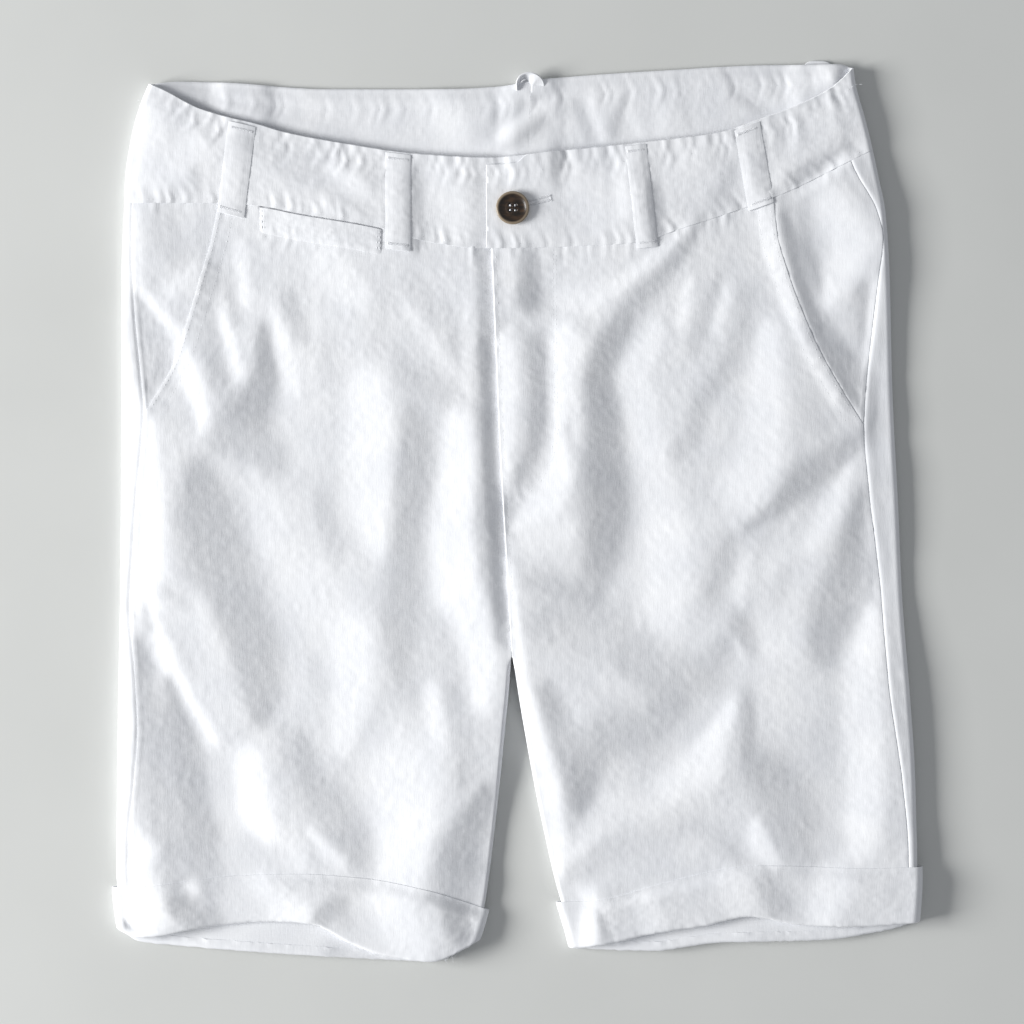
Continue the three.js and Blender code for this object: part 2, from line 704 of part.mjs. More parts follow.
// Each cuff wraps the leg: its back runs round both edges on to the front, up to two upright seams.
function addCuff(half) {
  const seams = CUFF_SEAMS[half.name];
  const { side } = half;
  const layer = {
    ...bodyLayer(half),
    outset: CUFF_OUTSET,
    outerRound: CUFF_ROUND,
    innerRound: CUFF_ROUND,
    closed: () => 1,
    bottom: () => 0,
    top: (x, y) => cover(x, y) + LAID_GAP + CUFF,
    innerEdge: (y) => half.leg(y) - side * CUFF_OUTSET,
  };
  const outerSeam = (y) => half.outer(y) + side * (CUFF_OUTSET - seams.outer);
  const innerSeam = (y) => half.leg(y) - side * (CUFF_OUTSET - seams.inner);
  const rows = levels(
    { front: half.cuffTop, back: half.cuffTop },
    { front: half.frontFold, back: half.backFold },
    3,
  );
  const front = {
    ...layer,
    from: (y) => outerSeam(y) - side * HALF_GAP,
    to: (y) => innerSeam(y) + side * HALF_GAP,
  };
  addLayer("cuff_front_" + half.name, half, front, spread(0, 1, 14).map(top), rows, CUFF);
  const toInnerEdge = { ...top(0), toInner: true };
  const back = {
    ...layer,
    from: (y, outerStart) => outerStart,
    to: (y) => outerSeam(y) + side * HALF_GAP,
  };
  const backColumns = [
    toInnerEdge,
    { ...top(1), toInner: true },
    ...[45, 0, -45].map(inner),
    ...spread(0, 1, 10).map(under),
    ...[-45, 0, 45].map(outer),
    top(0),
    top(1),
  ];
  const innerStrip = {
    ...back,
    from: (y) => innerSeam(y) - side * HALF_GAP,
    to: (y, innerStart) => innerStart,
  };
  const grid = rows.map((level) =>
    backColumns.map((column) => pointAt(half, column.toInner ? innerStrip : back, column, level)),
  );
  addPiece("cuff_back_" + half.name, wall(grid, side, CUFF), LINEN);
}

// A flat strip laid on the front: its points are the cover's, moved out.
function addStrip(name, corner, columns, rows, clearance, thickness, finish) {
  const grid = spread(0, 1, rows).map((v) =>
    spread(0, 1, columns).map((u) => {
      const { x, y } = corner(u, v);
      return new THREE.Vector3(x, y, cover(x, y) + clearance + thickness);
    }),
  );
  addPiece(name, wall(grid, -1, thickness), finish);
}

function addFrontLoop(loop) {
  const corner = (u, v) => {
    const middle = mix(loop.topX, loop.endX, v);
    const across = (u - 0.5) * loop.width;
    return { x: middle + across, y: mix(loop.topY, loop.endY, v) + across * slopeAt(middle) };
  };
  addStrip(loop.name, corner, 2, 6, BAND_PROUD + LAID_GAP, LOOP, LINEN);
}

// How steeply the waistband climbs across the front at x.
function slopeAt(x) {
  const reach = 5;
  return (frontTop(x + reach) - frontTop(x - reach)) / (2 * reach);
}

function addBackLoop(loop) {
  const from = backSeam(loop.x) + BACK_LOOP_TUCK;
  const to = backTop(loop.x) + loop.peek;
  const outline = new THREE.Shape();
  const corner = BACK_LOOP_CORNER;
  const halfWidth = loop.width / 2;
  outline.moveTo(-halfWidth, from);
  outline.lineTo(halfWidth, from);
  outline.lineTo(halfWidth, to - corner);
  outline.quadraticCurveTo(halfWidth, to, halfWidth - corner, to);
  outline.lineTo(-halfWidth + corner, to);
  outline.quadraticCurveTo(-halfWidth, to, -halfWidth, to - corner);
  outline.closePath();
  const geometry = new THREE.ExtrudeGeometry(outline, {
    depth: BACK_LOOP_THICKNESS,
    bevelEnabled: false,
    curveSegments: 3,
  });
  geometry.translate(loop.x, 0, 0);
  addPiece(loop.name, geometry, LINEN);
}

function addCoinWelt() {
  const { outerX, innerX, height } = COIN_WELT;
  const corner = (u, v) => {
    const x = mix(outerX, innerX, u);
    return { x, y: frontSeam(x) - 2 * WAIST_SEAM_GAP - height * v };
  };
  addStrip("coin_welt", corner, 8, 2, LAID_GAP, WELT, LINEN);
}

// The button: a turned disc with a raised rim, a dished middle and four holes.
function turnedDisc() {
  const r = BUTTON_RADIUS;
  const h = BUTTON_HEIGHT;
  const profile = [
    [0, 0],
    [0.62 * r, 0],
    [0.92 * r, 0.28 * h],
    [r, 0.62 * h],
    [0.96 * r, 0.9 * h],
    [0.87 * r, h],
    [0.78 * r, 0.88 * h],
    [0.58 * r, 0.6 * h],
    [0.42 * r, 0.56 * h],
    [0.34 * r, 0.66 * h],
    [0, 0.66 * h],
  ];
  const disc = new THREE.LatheGeometry(profile.map(([x, y]) => new THREE.Vector2(x, y)), BUTTON_SIDES);
  return disc.rotateX(Math.PI / 2);
}

const wasm = await Module();
wasm.setup();

function toSolid(geometry) {
  const bare = geometry.clone();
  bare.deleteAttribute("normal");
  bare.deleteAttribute("uv");
  const merged = mergeVertices(bare, 1e-4);
  return new wasm.Manifold(
    new wasm.Mesh({
      numProp: 3,
      vertProperties: merged.attributes.position.array,
      triVerts: new Uint32Array(merged.index.array),
    }),
  );
}

function toGeometry(solid) {
  const mesh = solid.getMesh();
  const geometry = new THREE.BufferGeometry();
  geometry.setAttribute("position", new THREE.BufferAttribute(new Float32Array(mesh.vertProperties), 3));
  geometry.setIndex(new THREE.BufferAttribute(new Uint32Array(mesh.triVerts), 1));
  geometry.computeVertexNormals();
  return geometry;
}

function addButton() {
  let solid = toSolid(turnedDisc());
  for (let i = 0; i < 4; i += 1) {
    const angle = Math.PI / 4 + (i * Math.PI) / 2;
    const hole = new THREE.CylinderGeometry(BUTTON_HOLE_RADIUS, BUTTON_HOLE_RADIUS, BUTTON_HEIGHT * 3, 10);
    hole.rotateX(Math.PI / 2);
    hole.translate(BUTTON_HOLE_SPREAD * Math.cos(angle), BUTTON_HOLE_SPREAD * Math.sin(angle), 0);
    solid = solid.subtract(toSolid(hole));
  }
  const geometry = toGeometry(solid);
  geometry.translate(BUTTON_X, BUTTON_Y, cover(BUTTON_X, BUTTON_Y) + BAND_PROUD + BUTTON_GAP);
  addPiece("button", geometry, HORN);
}

for (const half of HALVES) {
  addFront(half);
  addPocketSide(half);
  addBack(half);
  addWaistband(half);
  addCuff(half);
}
FRONT_LOOPS.forEach(addFrontLoop);
BACK_LOOPS.forEach(addBackLoop);
addCoinWelt();
addButton();

export default shorts;
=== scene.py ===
"""Bermuda shorts in washed linen, laid flat on their back with the cuffs turned up.

Lengths are millimetres until a mesh is made, which is in metres. +X is the wearer's left and
+Y runs up to the waist. Creases are placed in picture units: 1024 across the view, 0.6 mm each.
"""

import math

import bpy
import numpy as np
from mathutils import Matrix, Vector


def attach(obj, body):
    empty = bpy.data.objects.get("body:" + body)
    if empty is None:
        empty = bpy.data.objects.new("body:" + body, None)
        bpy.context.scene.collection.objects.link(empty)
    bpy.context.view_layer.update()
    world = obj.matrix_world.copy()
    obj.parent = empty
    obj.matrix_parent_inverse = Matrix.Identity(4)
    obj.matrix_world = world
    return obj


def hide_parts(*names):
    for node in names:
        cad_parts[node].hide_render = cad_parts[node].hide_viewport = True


# Cloth thicknesses and clearances
CLOTH, BAND, CUFF, LOOP_CLOTH, WELT = 1.2, 2.2, 2.0, 0.55, 0.45
LAID_GAP, TAB_GAP = 0.5, 0.8
BODY_HEIGHT, WAIST_HEIGHT, HEM_HEIGHT, BAND_PROUD = 6.4, 7.2, 7.0, 0.3
OUTER_ROUND, INNER_ROUND = 3.6, 2.6
CUFF_OUTSET, CUFF_ROUND, ROLL, CUFF_EDGE = 3.3, 5.0, 1.85, 0.35
TAB_LAP, TAB_CLOTH, TAB_DROP = 24, 1.1, 4.2
# Hem of the pocket mouths, and how a lower piece is tucked under the next one
MOUTH_HEM, MOUTH_HEM_RISE, MOUTH_EDGE = 10.5, 0.12, 0.2
TUCK, TUCK_SINK, LAP_RAMP = 3, 0.8, 12
HEM_CURL = 0.2
# Heights of the fine relief and of the puckers along the seams, and the puckers' reach
FINE_RELIEF, BAND_RELIEF, CUFF_RELIEF = 0.035, 0.05, 0.03
FRONT_PUCKER, BAND_PUCKER, INSIDE_PUCKER, CUFF_PUCKER = (0.15, 7), (0.34, 7), (0.22, 8), (0.04, 5)
CROTCH_X, CROTCH_Y = -2.5, -86.5
CENTRE_BACK_TOP_X = 9
TAB_EDGE_X = -17.5
BUTTON_X, BUTTON_Y, BUTTON_RADIUS, BUTTON_HEIGHT = -2, 181, 10, 2.9
PICTURE_UNIT, PICTURE_X0, PICTURE_Y0 = 0.6, 516, 511
SHEET_SHARP_ANGLE, HARD_SHARP_ANGLE = 50, 35

# Rows of y, then x on the wearer's right and left
OUTER_EDGE = [
    (265, -214, 202), (255, -220, 203.5), (235, -227.5, 209), (217, -231.5, 213.5),
    (198, -234, 217.5), (180, -234.5, 221), (145, -236, 223.5), (72, -236, 225.5),
    (0, -236.5, 229), (-54, -237, 231.5), (-113, -238, 236), (-161, -238.5, 239),
    (-215, -239, 240), (-264, -234, 237),
]
INNER_EDGE = [
    (CROTCH_Y, -2.8, -2.2), (-107, -4.2, 1), (-125, -6, 4), (-161, -9.5, 10.5), (-197, -13.5, 18),
    (-221, -16.5, 23.5), (-237, -19, 28), (-252, -23, 32.5), (-266, -29, 36),
]
OUTSEAM_INSET = [
    (216, 5.5, 16.5), (205, 5.5, 14.5), (180, 5.5, 6), (166, 6, 3.6), (138, 7, 7.6),
    (115, 8.5, 10.9), (90, 11, 14.4), (57.5, 13.6, 18.4), (51.5, 13.4, 19), (6, 9.5, 17.4), (-20, 8, 15.2),
    (-55, 6.2, 13.1), (-101, 10.5, 13.1), (-131, 12.4, 11.3), (-161, 10.5, 8.6), (-200, 7.5, 6),
    (-266, 8, 5.5),
]
# Rows of y and x
POCKET_MOUTH = {
    "right": [
        (182, -178), (163, -182), (147, -186.5), (120, -194.5), (88, -205), (70, -215), (57.5, -222.5),
    ],
    "left": [(189, 153.5), (165, 156), (145, 161.5), (120, 170.5), (96, 181), (72, 194.5), (51.5, 207.5)],
}
FLY_EDGE = [(209, -17.5), (157, -14.5), (97, -12), (37, -9.5), (-41, -5), (CROTCH_Y, CROTCH_X)]
# Rows of x and y
FRONT_TOP = [
    (-220, 255.5), (-210, 251), (-190, 240.5), (-172, 235), (-155, 231), (-138, 226), (-97, 218.5),
    (-62, 213.5), (-17.5, 211), (26, 215), (75, 220), (122, 226), (143, 233), (165, 241),
    (188, 252.5), (202, 265),
]
BACK_TOP = [
    (-220, 255.5), (-200, 257), (-178, 256.5), (-112, 252.5), (-40, 252.5), (-10, 254),
    (18, 258.5), (86, 263.5), (158, 267), (194, 267), (202, 265),
]
FRONT_SEAM = [
    (-234.5, 184), (-208, 184), (-180, 184), (-154, 182.5), (-130, 178), (-82, 169.5), (-55, 161.5),
    (-18, 157), (50, 159), (75, 161), (96, 168), (134, 180.5), (160, 190), (195, 207), (213, 216),
]
BACK_SEAM = [
    (-234.5, 184), (-215, 193), (-190, 199), (-150, 203), (0, 204), (100, 213), (180, 217), (213, 216),
]
CUFF_TOP = {
    "right": [
        (-243, -225), (-220, -224), (-165, -218), (-130, -217), (-93, -219.5), (-57, -225.5), (-15, -239),
    ],
    "left": [(24, -234), (45, -233), (90, -222), (126, -214), (148, -212), (207, -213.5), (244, -212.5)],
}
CUFF_FRONT_FOLD = {
    "right": [
        (-240, -250), (-225, -255), (-212, -254), (-190, -249.5), (-165, -246.5), (-145, -245.5),
        (-122, -247), (-100, -258), (-78, -266), (-50, -269.5), (-22, -258),
    ],
    "left": [
        (31, -262), (53, -259), (80, -253), (112, -248), (140, -242.5), (167, -247), (198, -248.5),
        (241, -246),
    ],
}
CUFF_BACK_FOLD = {
    "right": [
        (-240, -250), (-225, -258), (-200, -260.5), (-148, -264.5), (-75, -269), (-50, -270), (-22, -258),
    ],
    "left": [(31, -262), (80, -263.5), (122, -258.5), (183, -257), (218, -252), (241, -246)],
}
CUFF_SEAMS = {"right": (9, 12), "left": (9, 28)}
# The open end of the right cuff's roll
ROLL_END_X, ROLL_END_Y, ROLL_END_DEPTH = -229.8, -247, 1.9
# Name, middle of the upper and the lower end, width
FRONT_LOOPS = [
    ("belt_loop_right_side", -163.5, 231, -170.5, 177, 16),
    ("belt_loop_right_front", -70.5, 213.5, -70.5, 156, 15),
    ("belt_loop_left_front", 71.5, 218.5, 78.5, 157.5, 12.5),
    ("belt_loop_left_side", 138, 230, 146.5, 182, 15),
]
# Name, middle, width and how far it shows above the band
BACK_LOOPS = [
    ("belt_loop_back_right", -164, 15, -1),
    ("belt_loop_back_centre", 9, 15, 2.5),
    ("belt_loop_back_left", 181, 15, 2.5),
]
BACK_LOOP_THICKNESS, BACK_LOOP_LIFT, BACK_LOOP_EASE = 1.2, 1.6, 13
COIN_WELT = {"outer": -153, "inner": -80.5, "height": 15}

# How the front tips, stroke by stroke: tilt (1 is steepest towards the wearer's right, which
# catches the light), then x, y and half width in picture units.
FRONT_TILTS = [
    (0.12, (300, 250, 60), (320, 560, 70), (330, 700, 50)),
    (0.1, (790, 560, 40), (790, 700, 40)),
    (0.2, (690, 400, 60), (700, 480, 50)),
    (0.3, (130, 905, 22), (300, 905, 22), (480, 930, 22)),
    (0.45, (570, 920, 24), (720, 895, 26), (905, 890, 24)),
    # waistband, wearer's right
    (-0.3, (245, 142, 12), (300, 160, 14), (375, 172, 12)),
    (0.5, (150, 120, 16), (150, 185, 18), (195, 150, 18)),
    (0.95, (141, 110, 11), (131, 185, 11)),
    (-0.25, (192, 116, 3), (212, 140, 4)),
    (-0.3, (176, 190, 5), (184, 194, 4)),
    (-0.45, (196, 172, 5), (200, 194, 5)),
    (-0.4, (283, 160, 15), (300, 172, 14)),
    (0.45, (332, 170, 7), (362, 190, 11)),
    (-0.25, (312, 200, 4), (322, 182, 4), (336, 200, 4)),
    (0.5, (322, 203, 6), (322, 212, 5)),
    (-0.35, (370, 160, 5), (372, 186, 6)),
    (-0.9, (416, 170, 7), (417, 246, 8)),
    (0.35, (440, 175, 16), (460, 220, 20)),
    (-0.35, (350, 205, 7), (372, 214, 7)),
    # waistband, wearer's left
    (0.35, (570, 175, 18), (600, 215, 22)),
    (0.6, (556, 195, 3), (598, 181, 4), (617, 175, 4)),
    (0.8, (618, 165, 7), (623, 215, 7)),
    (-1.0, (652, 190, 8), (657, 238, 8)),
    (0.4, (668, 172, 8), (692, 160, 13)),
    (-0.55, (720, 196, 12), (733, 172, 8)),
    (0.35, (741, 155, 4), (748, 193, 4)),
    (-0.5, (757, 168, 8), (759, 182, 7)),
    (-0.5, (786, 120, 7), (784, 140, 5)),
    (0.65, (797, 110, 4), (792, 148, 5)),
    (-1.3, (790, 180, 8), (820, 165, 9), (847, 150, 7)),
    (1.1, (795, 195, 5), (820, 181, 6), (843, 160, 5)),
    (0.3, (812, 125, 12), (820, 135, 10)),
    (0.45, (822, 106, 3), (834, 134, 4)),
    (-0.35, (838, 118, 3), (846, 140, 4)),
    # wearer's right leg, outer part
    (0.9, (129, 200, 11), (130, 280, 12)),
    (0.9, (127, 290, 6), (127, 380, 8), (140, 430, 18), (143, 520, 24), (145, 590, 24)),
    (0.9, (129, 620, 8), (128, 800, 9), (138, 860, 16)),
    (-0.4, (165, 212, 14), (172, 240, 20), (180, 262, 12)),
    (-0.1, (200, 235, 14)),
    (0.5, (170, 290, 10), (200, 275, 12)),
    (0.85, (133, 278, 4), (155, 308, 6), (180, 338, 7)),
    (-0.4, (136, 298, 5), (148, 335, 17), (152, 365, 16), (148, 392, 6)),
    (0.9, (180, 350, 8), (188, 372, 12), (201, 405, 9), (208, 432, 7)),
    (-0.1, (180, 420, 14), (185, 450, 8)),
    (-0.45, (212, 262, 9), (208, 310, 11), (212, 350, 9)),
    (0.6, (240, 250, 7), (246, 300, 7)),
    (-0.35, (230, 282, 5), (238, 325, 6)),
    (0.75, (221, 312, 4), (231, 342, 6), (241, 380, 5)),
    (-0.55, (213, 350, 8), (222, 385, 10)),
    (-1.05, (265, 330, 8), (268, 380, 14), (250, 415, 28)),
    (-0.7, (225, 440, 20), (275, 455, 18)),
    (
        -0.85, (200, 470, 16), (208, 515, 32), (222, 560, 35), (238, 605, 33), (258, 650, 28),
        (264, 690, 22), (262, 715, 12),
    ),
    (0.25, (253, 472, 6), (262, 505, 12), (272, 545, 14)),
    (0.55, (270, 490, 2.5), (284, 526, 3)),
    (0.5, (274, 315, 5), (284, 350, 9), (294, 392, 8)),
    (-0.5, (290, 300, 10), (303, 338, 9)),
    (0.4, (285, 225, 14), (330, 245, 12)),
    (0.5, (325, 268, 20), (355, 295, 16)),
    (-0.15, (385, 300, 10), (376, 350, 9)),
    (-0.15, (328, 340, 12), (330, 370, 12)),
    (0.75, (368, 390, 22), (370, 450, 27), (372, 505, 25), (380, 545, 14)),
    (-0.25, (322, 500, 10), (334, 545, 12), (335, 575, 8)),
    (-0.3, (415, 285, 12), (440, 315, 14)),
    (0.3, (408, 310, 5), (435, 350, 7), (455, 375, 6)),
    (-0.3, (398, 350, 8), (412, 380, 12), (445, 395, 14)),
    (-0.5, (414, 410, 10), (416, 450, 17), (414, 505, 20), (408, 560, 20), (400, 620, 19), (402, 670, 12)),
    (-0.4, (455, 335, 7), (455, 350, 7)),
    (0.3, (467, 300, 5), (468, 390, 6)),
    (0.95, (458, 425, 16), (460, 480, 22), (453, 530, 26), (458, 590, 26)),
    (-0.45, (484, 345, 9), (484, 400, 9), (486, 450, 8), (488, 520, 13), (494, 575, 14), (500, 612, 8)),
    (0.85, (468, 610, 20), (482, 660, 17), (481, 700, 13)),
    (0.3, (318, 590, 30), (330, 610, 30)),
    (0.7, (352, 635, 22), (352, 700, 22), (342, 742, 14)),
    (-0.05, (312, 655, 9), (320, 690, 9)),
    (0.25, (395, 720, 20), (380, 745, 16)),
    (0.75, (405, 770, 42), (405, 820, 36), (402, 860, 28), (408, 888, 14)),
    (0.8, (432, 690, 10), (437, 740, 12)),
    (-0.15, (452, 690, 9), (460, 730, 9), (470, 760, 10)),
    (-0.5, (461, 762, 4), (463, 785, 5)),
    (-1.0, (487, 790, 9), (474, 820, 16), (462, 850, 24), (458, 885, 25)),
    # wearer's right leg, lower part
    (0.1, (195, 605, 14), (215, 660, 14)),
    (-0.25, (167, 590, 8), (188, 604, 6)),
    (0.95, (152, 612, 4), (165, 650, 9), (186, 700, 9), (212, 738, 8)),
    (-0.65, (144, 603, 2), (153, 628, 3)),
    (-0.75, (140, 640, 5), (150, 700, 14), (168, 740, 30), (180, 800, 42), (192, 850, 42)),
    (-1.0, (170, 680, 6), (187, 740, 14), (200, 800, 16), (212, 850, 20)),
    (0.8, (130, 850, 14), (148, 850, 12)),
    (0.8, (248, 765, 18), (250, 805, 24), (266, 836, 14)),
    (-0.35, (285, 730, 8), (290, 765, 7)),
    (-0.55, (302, 735, 8), (312, 785, 16), (330, 805, 24), (348, 835, 22), (362, 862, 12)),
    (0.7, (312, 832, 5), (325, 848, 8), (340, 860, 7)),
    (0.45, (290, 845, 14), (300, 862, 10)),
    # fly
    (0.75, (505, 340, 9), (507, 390, 11), (506, 440, 9), (503, 485, 4)),
    (-0.6, (497, 262, 4), (499, 330, 4)),
    (-1.3, (532, 258, 13), (530, 300, 14)),
    (-0.8, (538, 345, 12), (540, 400, 11), (536, 440, 9), (520, 480, 7)),
    (-0.8, (505, 505, 8), (512, 530, 8)),
    # wearer's left leg, upper part
    (0.55, (570, 300, 14), (620, 285, 8)),
    (0.9, (562, 335, 14), (560, 385, 11), (557, 430, 6), (560, 475, 14), (546, 502, 18), (522, 525, 12)),
    (0.5, (578, 345, 10), (576, 400, 9), (582, 440, 9)),
    (0.35, (530, 540, 16), (570, 530, 14)),
    (0.7, (590, 305, 8), (625, 280, 7), (690, 232, 9)),
    (-0.75, (704, 215, 4), (690, 240, 7), (662, 276, 9), (636, 303, 12)),
    (
        -1.0, (625, 318, 12), (606, 350, 15), (598, 380, 17), (604, 420, 20), (604, 460, 22),
        (608, 505, 26), (604, 548, 23), (592, 590, 14),
    ),
    (0.6, (655, 330, 10), (634, 375, 17), (644, 425, 16), (655, 480, 18), (668, 550, 28), (664, 605, 26)),
    (-0.35, (718, 275, 6), (706, 312, 8), (694, 350, 8)),
    (0.6, (727, 288, 5), (716, 330, 6)),
    (-0.35, (746, 298, 7), (742, 335, 10), (722, 375, 11), (700, 402, 10), (692, 440, 10), (678, 452, 10)),
    (0.6, (688, 285, 6), (680, 325, 7)),
    (0.75, (768, 330, 12), (765, 390, 20), (762, 450, 24), (742, 485, 26)),
    (-0.25, (812, 405, 14), (822, 425, 10)),
    (0.85, (758, 205, 10), (772, 260, 9), (790, 310, 10), (812, 352, 9), (838, 400, 7)),
    (-1.1, (783, 215, 5), (800, 262, 14), (806, 300, 10), (818, 335, 14), (838, 362, 18), (850, 400, 10)),
    (0.9, (830, 205, 20), (852, 245, 24), (842, 275, 20), (826, 300, 10)),
    (-0.55, (860, 292, 10), (862, 335, 8)),
    (0.9, (876, 280, 5), (872, 320, 5), (867, 360, 3)),
    (-0.7, (866, 380, 9), (870, 440, 9)),
    (-0.9, (868, 432, 5), (840, 452, 13), (806, 476, 18), (778, 508, 10), (745, 528, 4)),
    (0.65, (851, 466, 4), (838, 490, 9), (826, 518, 12), (808, 545, 10)),
    (0.3, (790, 545, 12), (770, 565, 10)),
    (-0.9, (862, 490, 5), (852, 530, 11), (845, 570, 19), (832, 610, 26), (824, 645, 20)),
    (-0.45, (728, 538, 7), (722, 568, 10), (710, 592, 9)),
    (0.45, (745, 555, 6), (737, 598, 8)),
    (-0.25, (784, 570, 6), (778, 600, 6)),
    (-0.5, (872, 560, 5), (866, 600, 4)),
    # wearer's left leg, the slack below the crotch
    (-0.8, (528, 582, 8), (556, 584, 13), (590, 592, 14)),
    (-0.5, (550, 625, 24), (600, 640, 30), (640, 650, 20)),
    (-0.9, (630, 660, 20), (668, 672, 26), (705, 672, 24), (722, 648, 12)),
    (-0.8, (740, 625, 13), (752, 650, 8)),
    (-0.85, (546, 690, 10), (560, 730, 16), (582, 765, 22), (580, 800, 13)),
    (-1.05, (605, 735, 24), (650, 725, 26), (684, 712, 16)),
    (-0.15, (556, 650, 4), (575, 672, 8), (602, 692, 6), (640, 702, 5)),
    (
        1.0, (507, 560, 4), (515, 620, 5), (522, 680, 6), (535, 735, 9), (548, 790, 13), (556, 840, 10),
        (558, 885, 4),
    ),
    (0.4, (575, 850, 10), (615, 805, 18), (650, 798, 18)),
    (0.8, (668, 785, 16), (700, 768, 22), (712, 735, 14), (730, 705, 8)),
    (-0.45, (570, 885, 12), (605, 852, 14), (645, 845, 14), (695, 828, 12), (722, 838, 12), (738, 856, 8)),
    (-0.7, (748, 690, 7), (748, 760, 10), (770, 775, 25), (788, 805, 34), (802, 832, 28), (812, 852, 12)),
    (0.75, (754, 822, 6), (756, 843, 12), (772, 862, 7)),
    (0.15, (775, 660, 14), (790, 700, 26)),
    (0.85, (870, 612, 7), (860, 665, 18), (862, 730, 22), (864, 790, 20), (856, 840, 22)),
    # cuffs
    (1.3, (136, 893, 25), (142, 920, 22)),
    (0.8, (192, 885, 7), (200, 906, 7)),
    (-1.1, (180, 903, 12), (202, 915, 16), (232, 914, 12)),
    (0.9, (258, 888, 16), (272, 905, 20), (300, 912, 14)),
    (-0.8, (322, 915, 10), (340, 908, 14), (352, 916, 10)),
    (0.9, (385, 900, 20), (398, 930, 26), (415, 945, 18)),
    (-1.1, (455, 915, 13), (462, 932, 13)),
    (1.9, (582, 906, 20), (582, 936, 15)),
    (-0.5, (598, 912, 3), (606, 936, 4)),
    (0.9, (644, 900, 12), (652, 920, 14)),
    (0.5, (690, 900, 16), (696, 915, 16)),
    (0.8, (728, 885, 18), (740, 905, 16)),
    (-0.15, (766, 880, 12), (780, 902, 16)),
    (1.2, (830, 885, 22), (820, 908, 18)),
    (0.3, (890, 885, 14), (895, 905, 12)),
]
# The same for the inside of the back waistband, above the front's top edge
BACK_TILTS = [
    (-1.1, (166, 88, 7), (192, 94, 9), (232, 100, 10)),
    (-0.8, (236, 100, 9), (262, 110, 8)),
    (0.5, (228, 88, 4), (300, 95, 5)),
    (-0.5, (250, 105, 12), (300, 118, 10), (350, 128, 10)),
    (0.5, (430, 110, 24), (455, 130, 16)),
    (-0.8, (495, 118, 6), (520, 110, 6), (545, 97, 5)),
    (0.7, (500, 137, 5), (525, 120, 5), (546, 104, 4)),
    (-1.2, (505, 148, 6), (530, 134, 8), (547, 124, 8)),
    (0.75, (553, 100, 6), (553, 138, 5)),
    (-0.6, (576, 104, 4), (590, 138, 6)),
    (0.6, (588, 98, 4), (603, 140, 5)),
    (-0.9, (624, 100, 3), (614, 132, 8)),
    (0.6, (628, 112, 4), (640, 138, 4)),
    (0.4, (662, 110, 6), (660, 134, 6)),
    (-0.45, (676, 76, 3), (688, 128, 3)),
    (-0.8, (722, 72, 4), (736, 96, 5), (762, 112, 7)),
    (0.5, (748, 88, 4), (776, 108, 5)),
    (0.5, (790, 74, 4), (795, 100, 4)),
    (1.2, (818, 78, 14), (828, 88, 12)),
    (-0.9, (842, 92, 5), (830, 100, 4)),
]

HALF = {
    "right": {"name": "right", "side": -1},
    "left": {"name": "left", "side": 1},
}


# Plain mathematics
def mix(a, b, t):
    return a + (b - a) * t


def step(low, high, value):
    t = np.clip((value - low) / (high - low), 0, 1)
    return t * t * (3 - 2 * t)


def soft_max(a, b, width):
    return 0.5 * (a + b + np.hypot(a - b, width))


def curve(rows, value=1):
    """A smooth curve through the rows of a table, without overshoot."""
    table = np.array(sorted(rows), float)
    at, height = table[:, 0], table[:, value]
    slope = np.diff(height) / np.diff(at)
    before, after = np.r_[slope[0], slope], np.r_[slope, slope[-1]]
    both = before * after
    tangent = np.where(both <= 0, 0, 2 * both / np.where(both <= 0, 1, before + after))

    def evaluate(v):
        v = np.clip(v, at[0], at[-1])
        i = np.clip(np.searchsorted(at, v, side="left") - 1, 0, len(slope) - 1)
        width = at[i + 1] - at[i]
        t = (v - at[i]) / width
        eased = mix(height[i], height[i + 1], t * t * (3 - 2 * t))
        return eased + width * t * (1 - t) * ((1 - t) * tangent[i] - t * tangent[i + 1])

    return evaluate


def along_line(points, x, y):
    """Distance from a line through points, and how far along it the nearest place is."""
    points = np.asarray(points, float)
    best, run, start = np.full(np.shape(x), 1e9), np.zeros(np.shape(x)), 0.0
    for (x0, y0), (x1, y1) in zip(points[:-1], points[1:]):
        dx, dy = x1 - x0, y1 - y0
        length = math.hypot(dx, dy)
        t = np.clip(((x - x0) * dx + (y - y0) * dy) / length**2, 0, 1)
        d = np.hypot(x - x0 - t * dx, y - y0 - t * dy)
        nearer = d < best
        best, run = np.where(nearer, d, best), np.where(nearer, start + t * length, run)
        start += length
    return best, run


# The lie of the cloth
MAP_CELLS = 768
MAP_CELL = 1024 * PICTURE_UNIT / MAP_CELLS
LIGHT_AZIMUTH = 184
FOLD_SLOPE = 0.28
FOLD_LENGTH = 300
FOLD_SPREAD = 0.1
FOLD_SOFTNESS = 1.5
SHADE_SHARE = 0.85


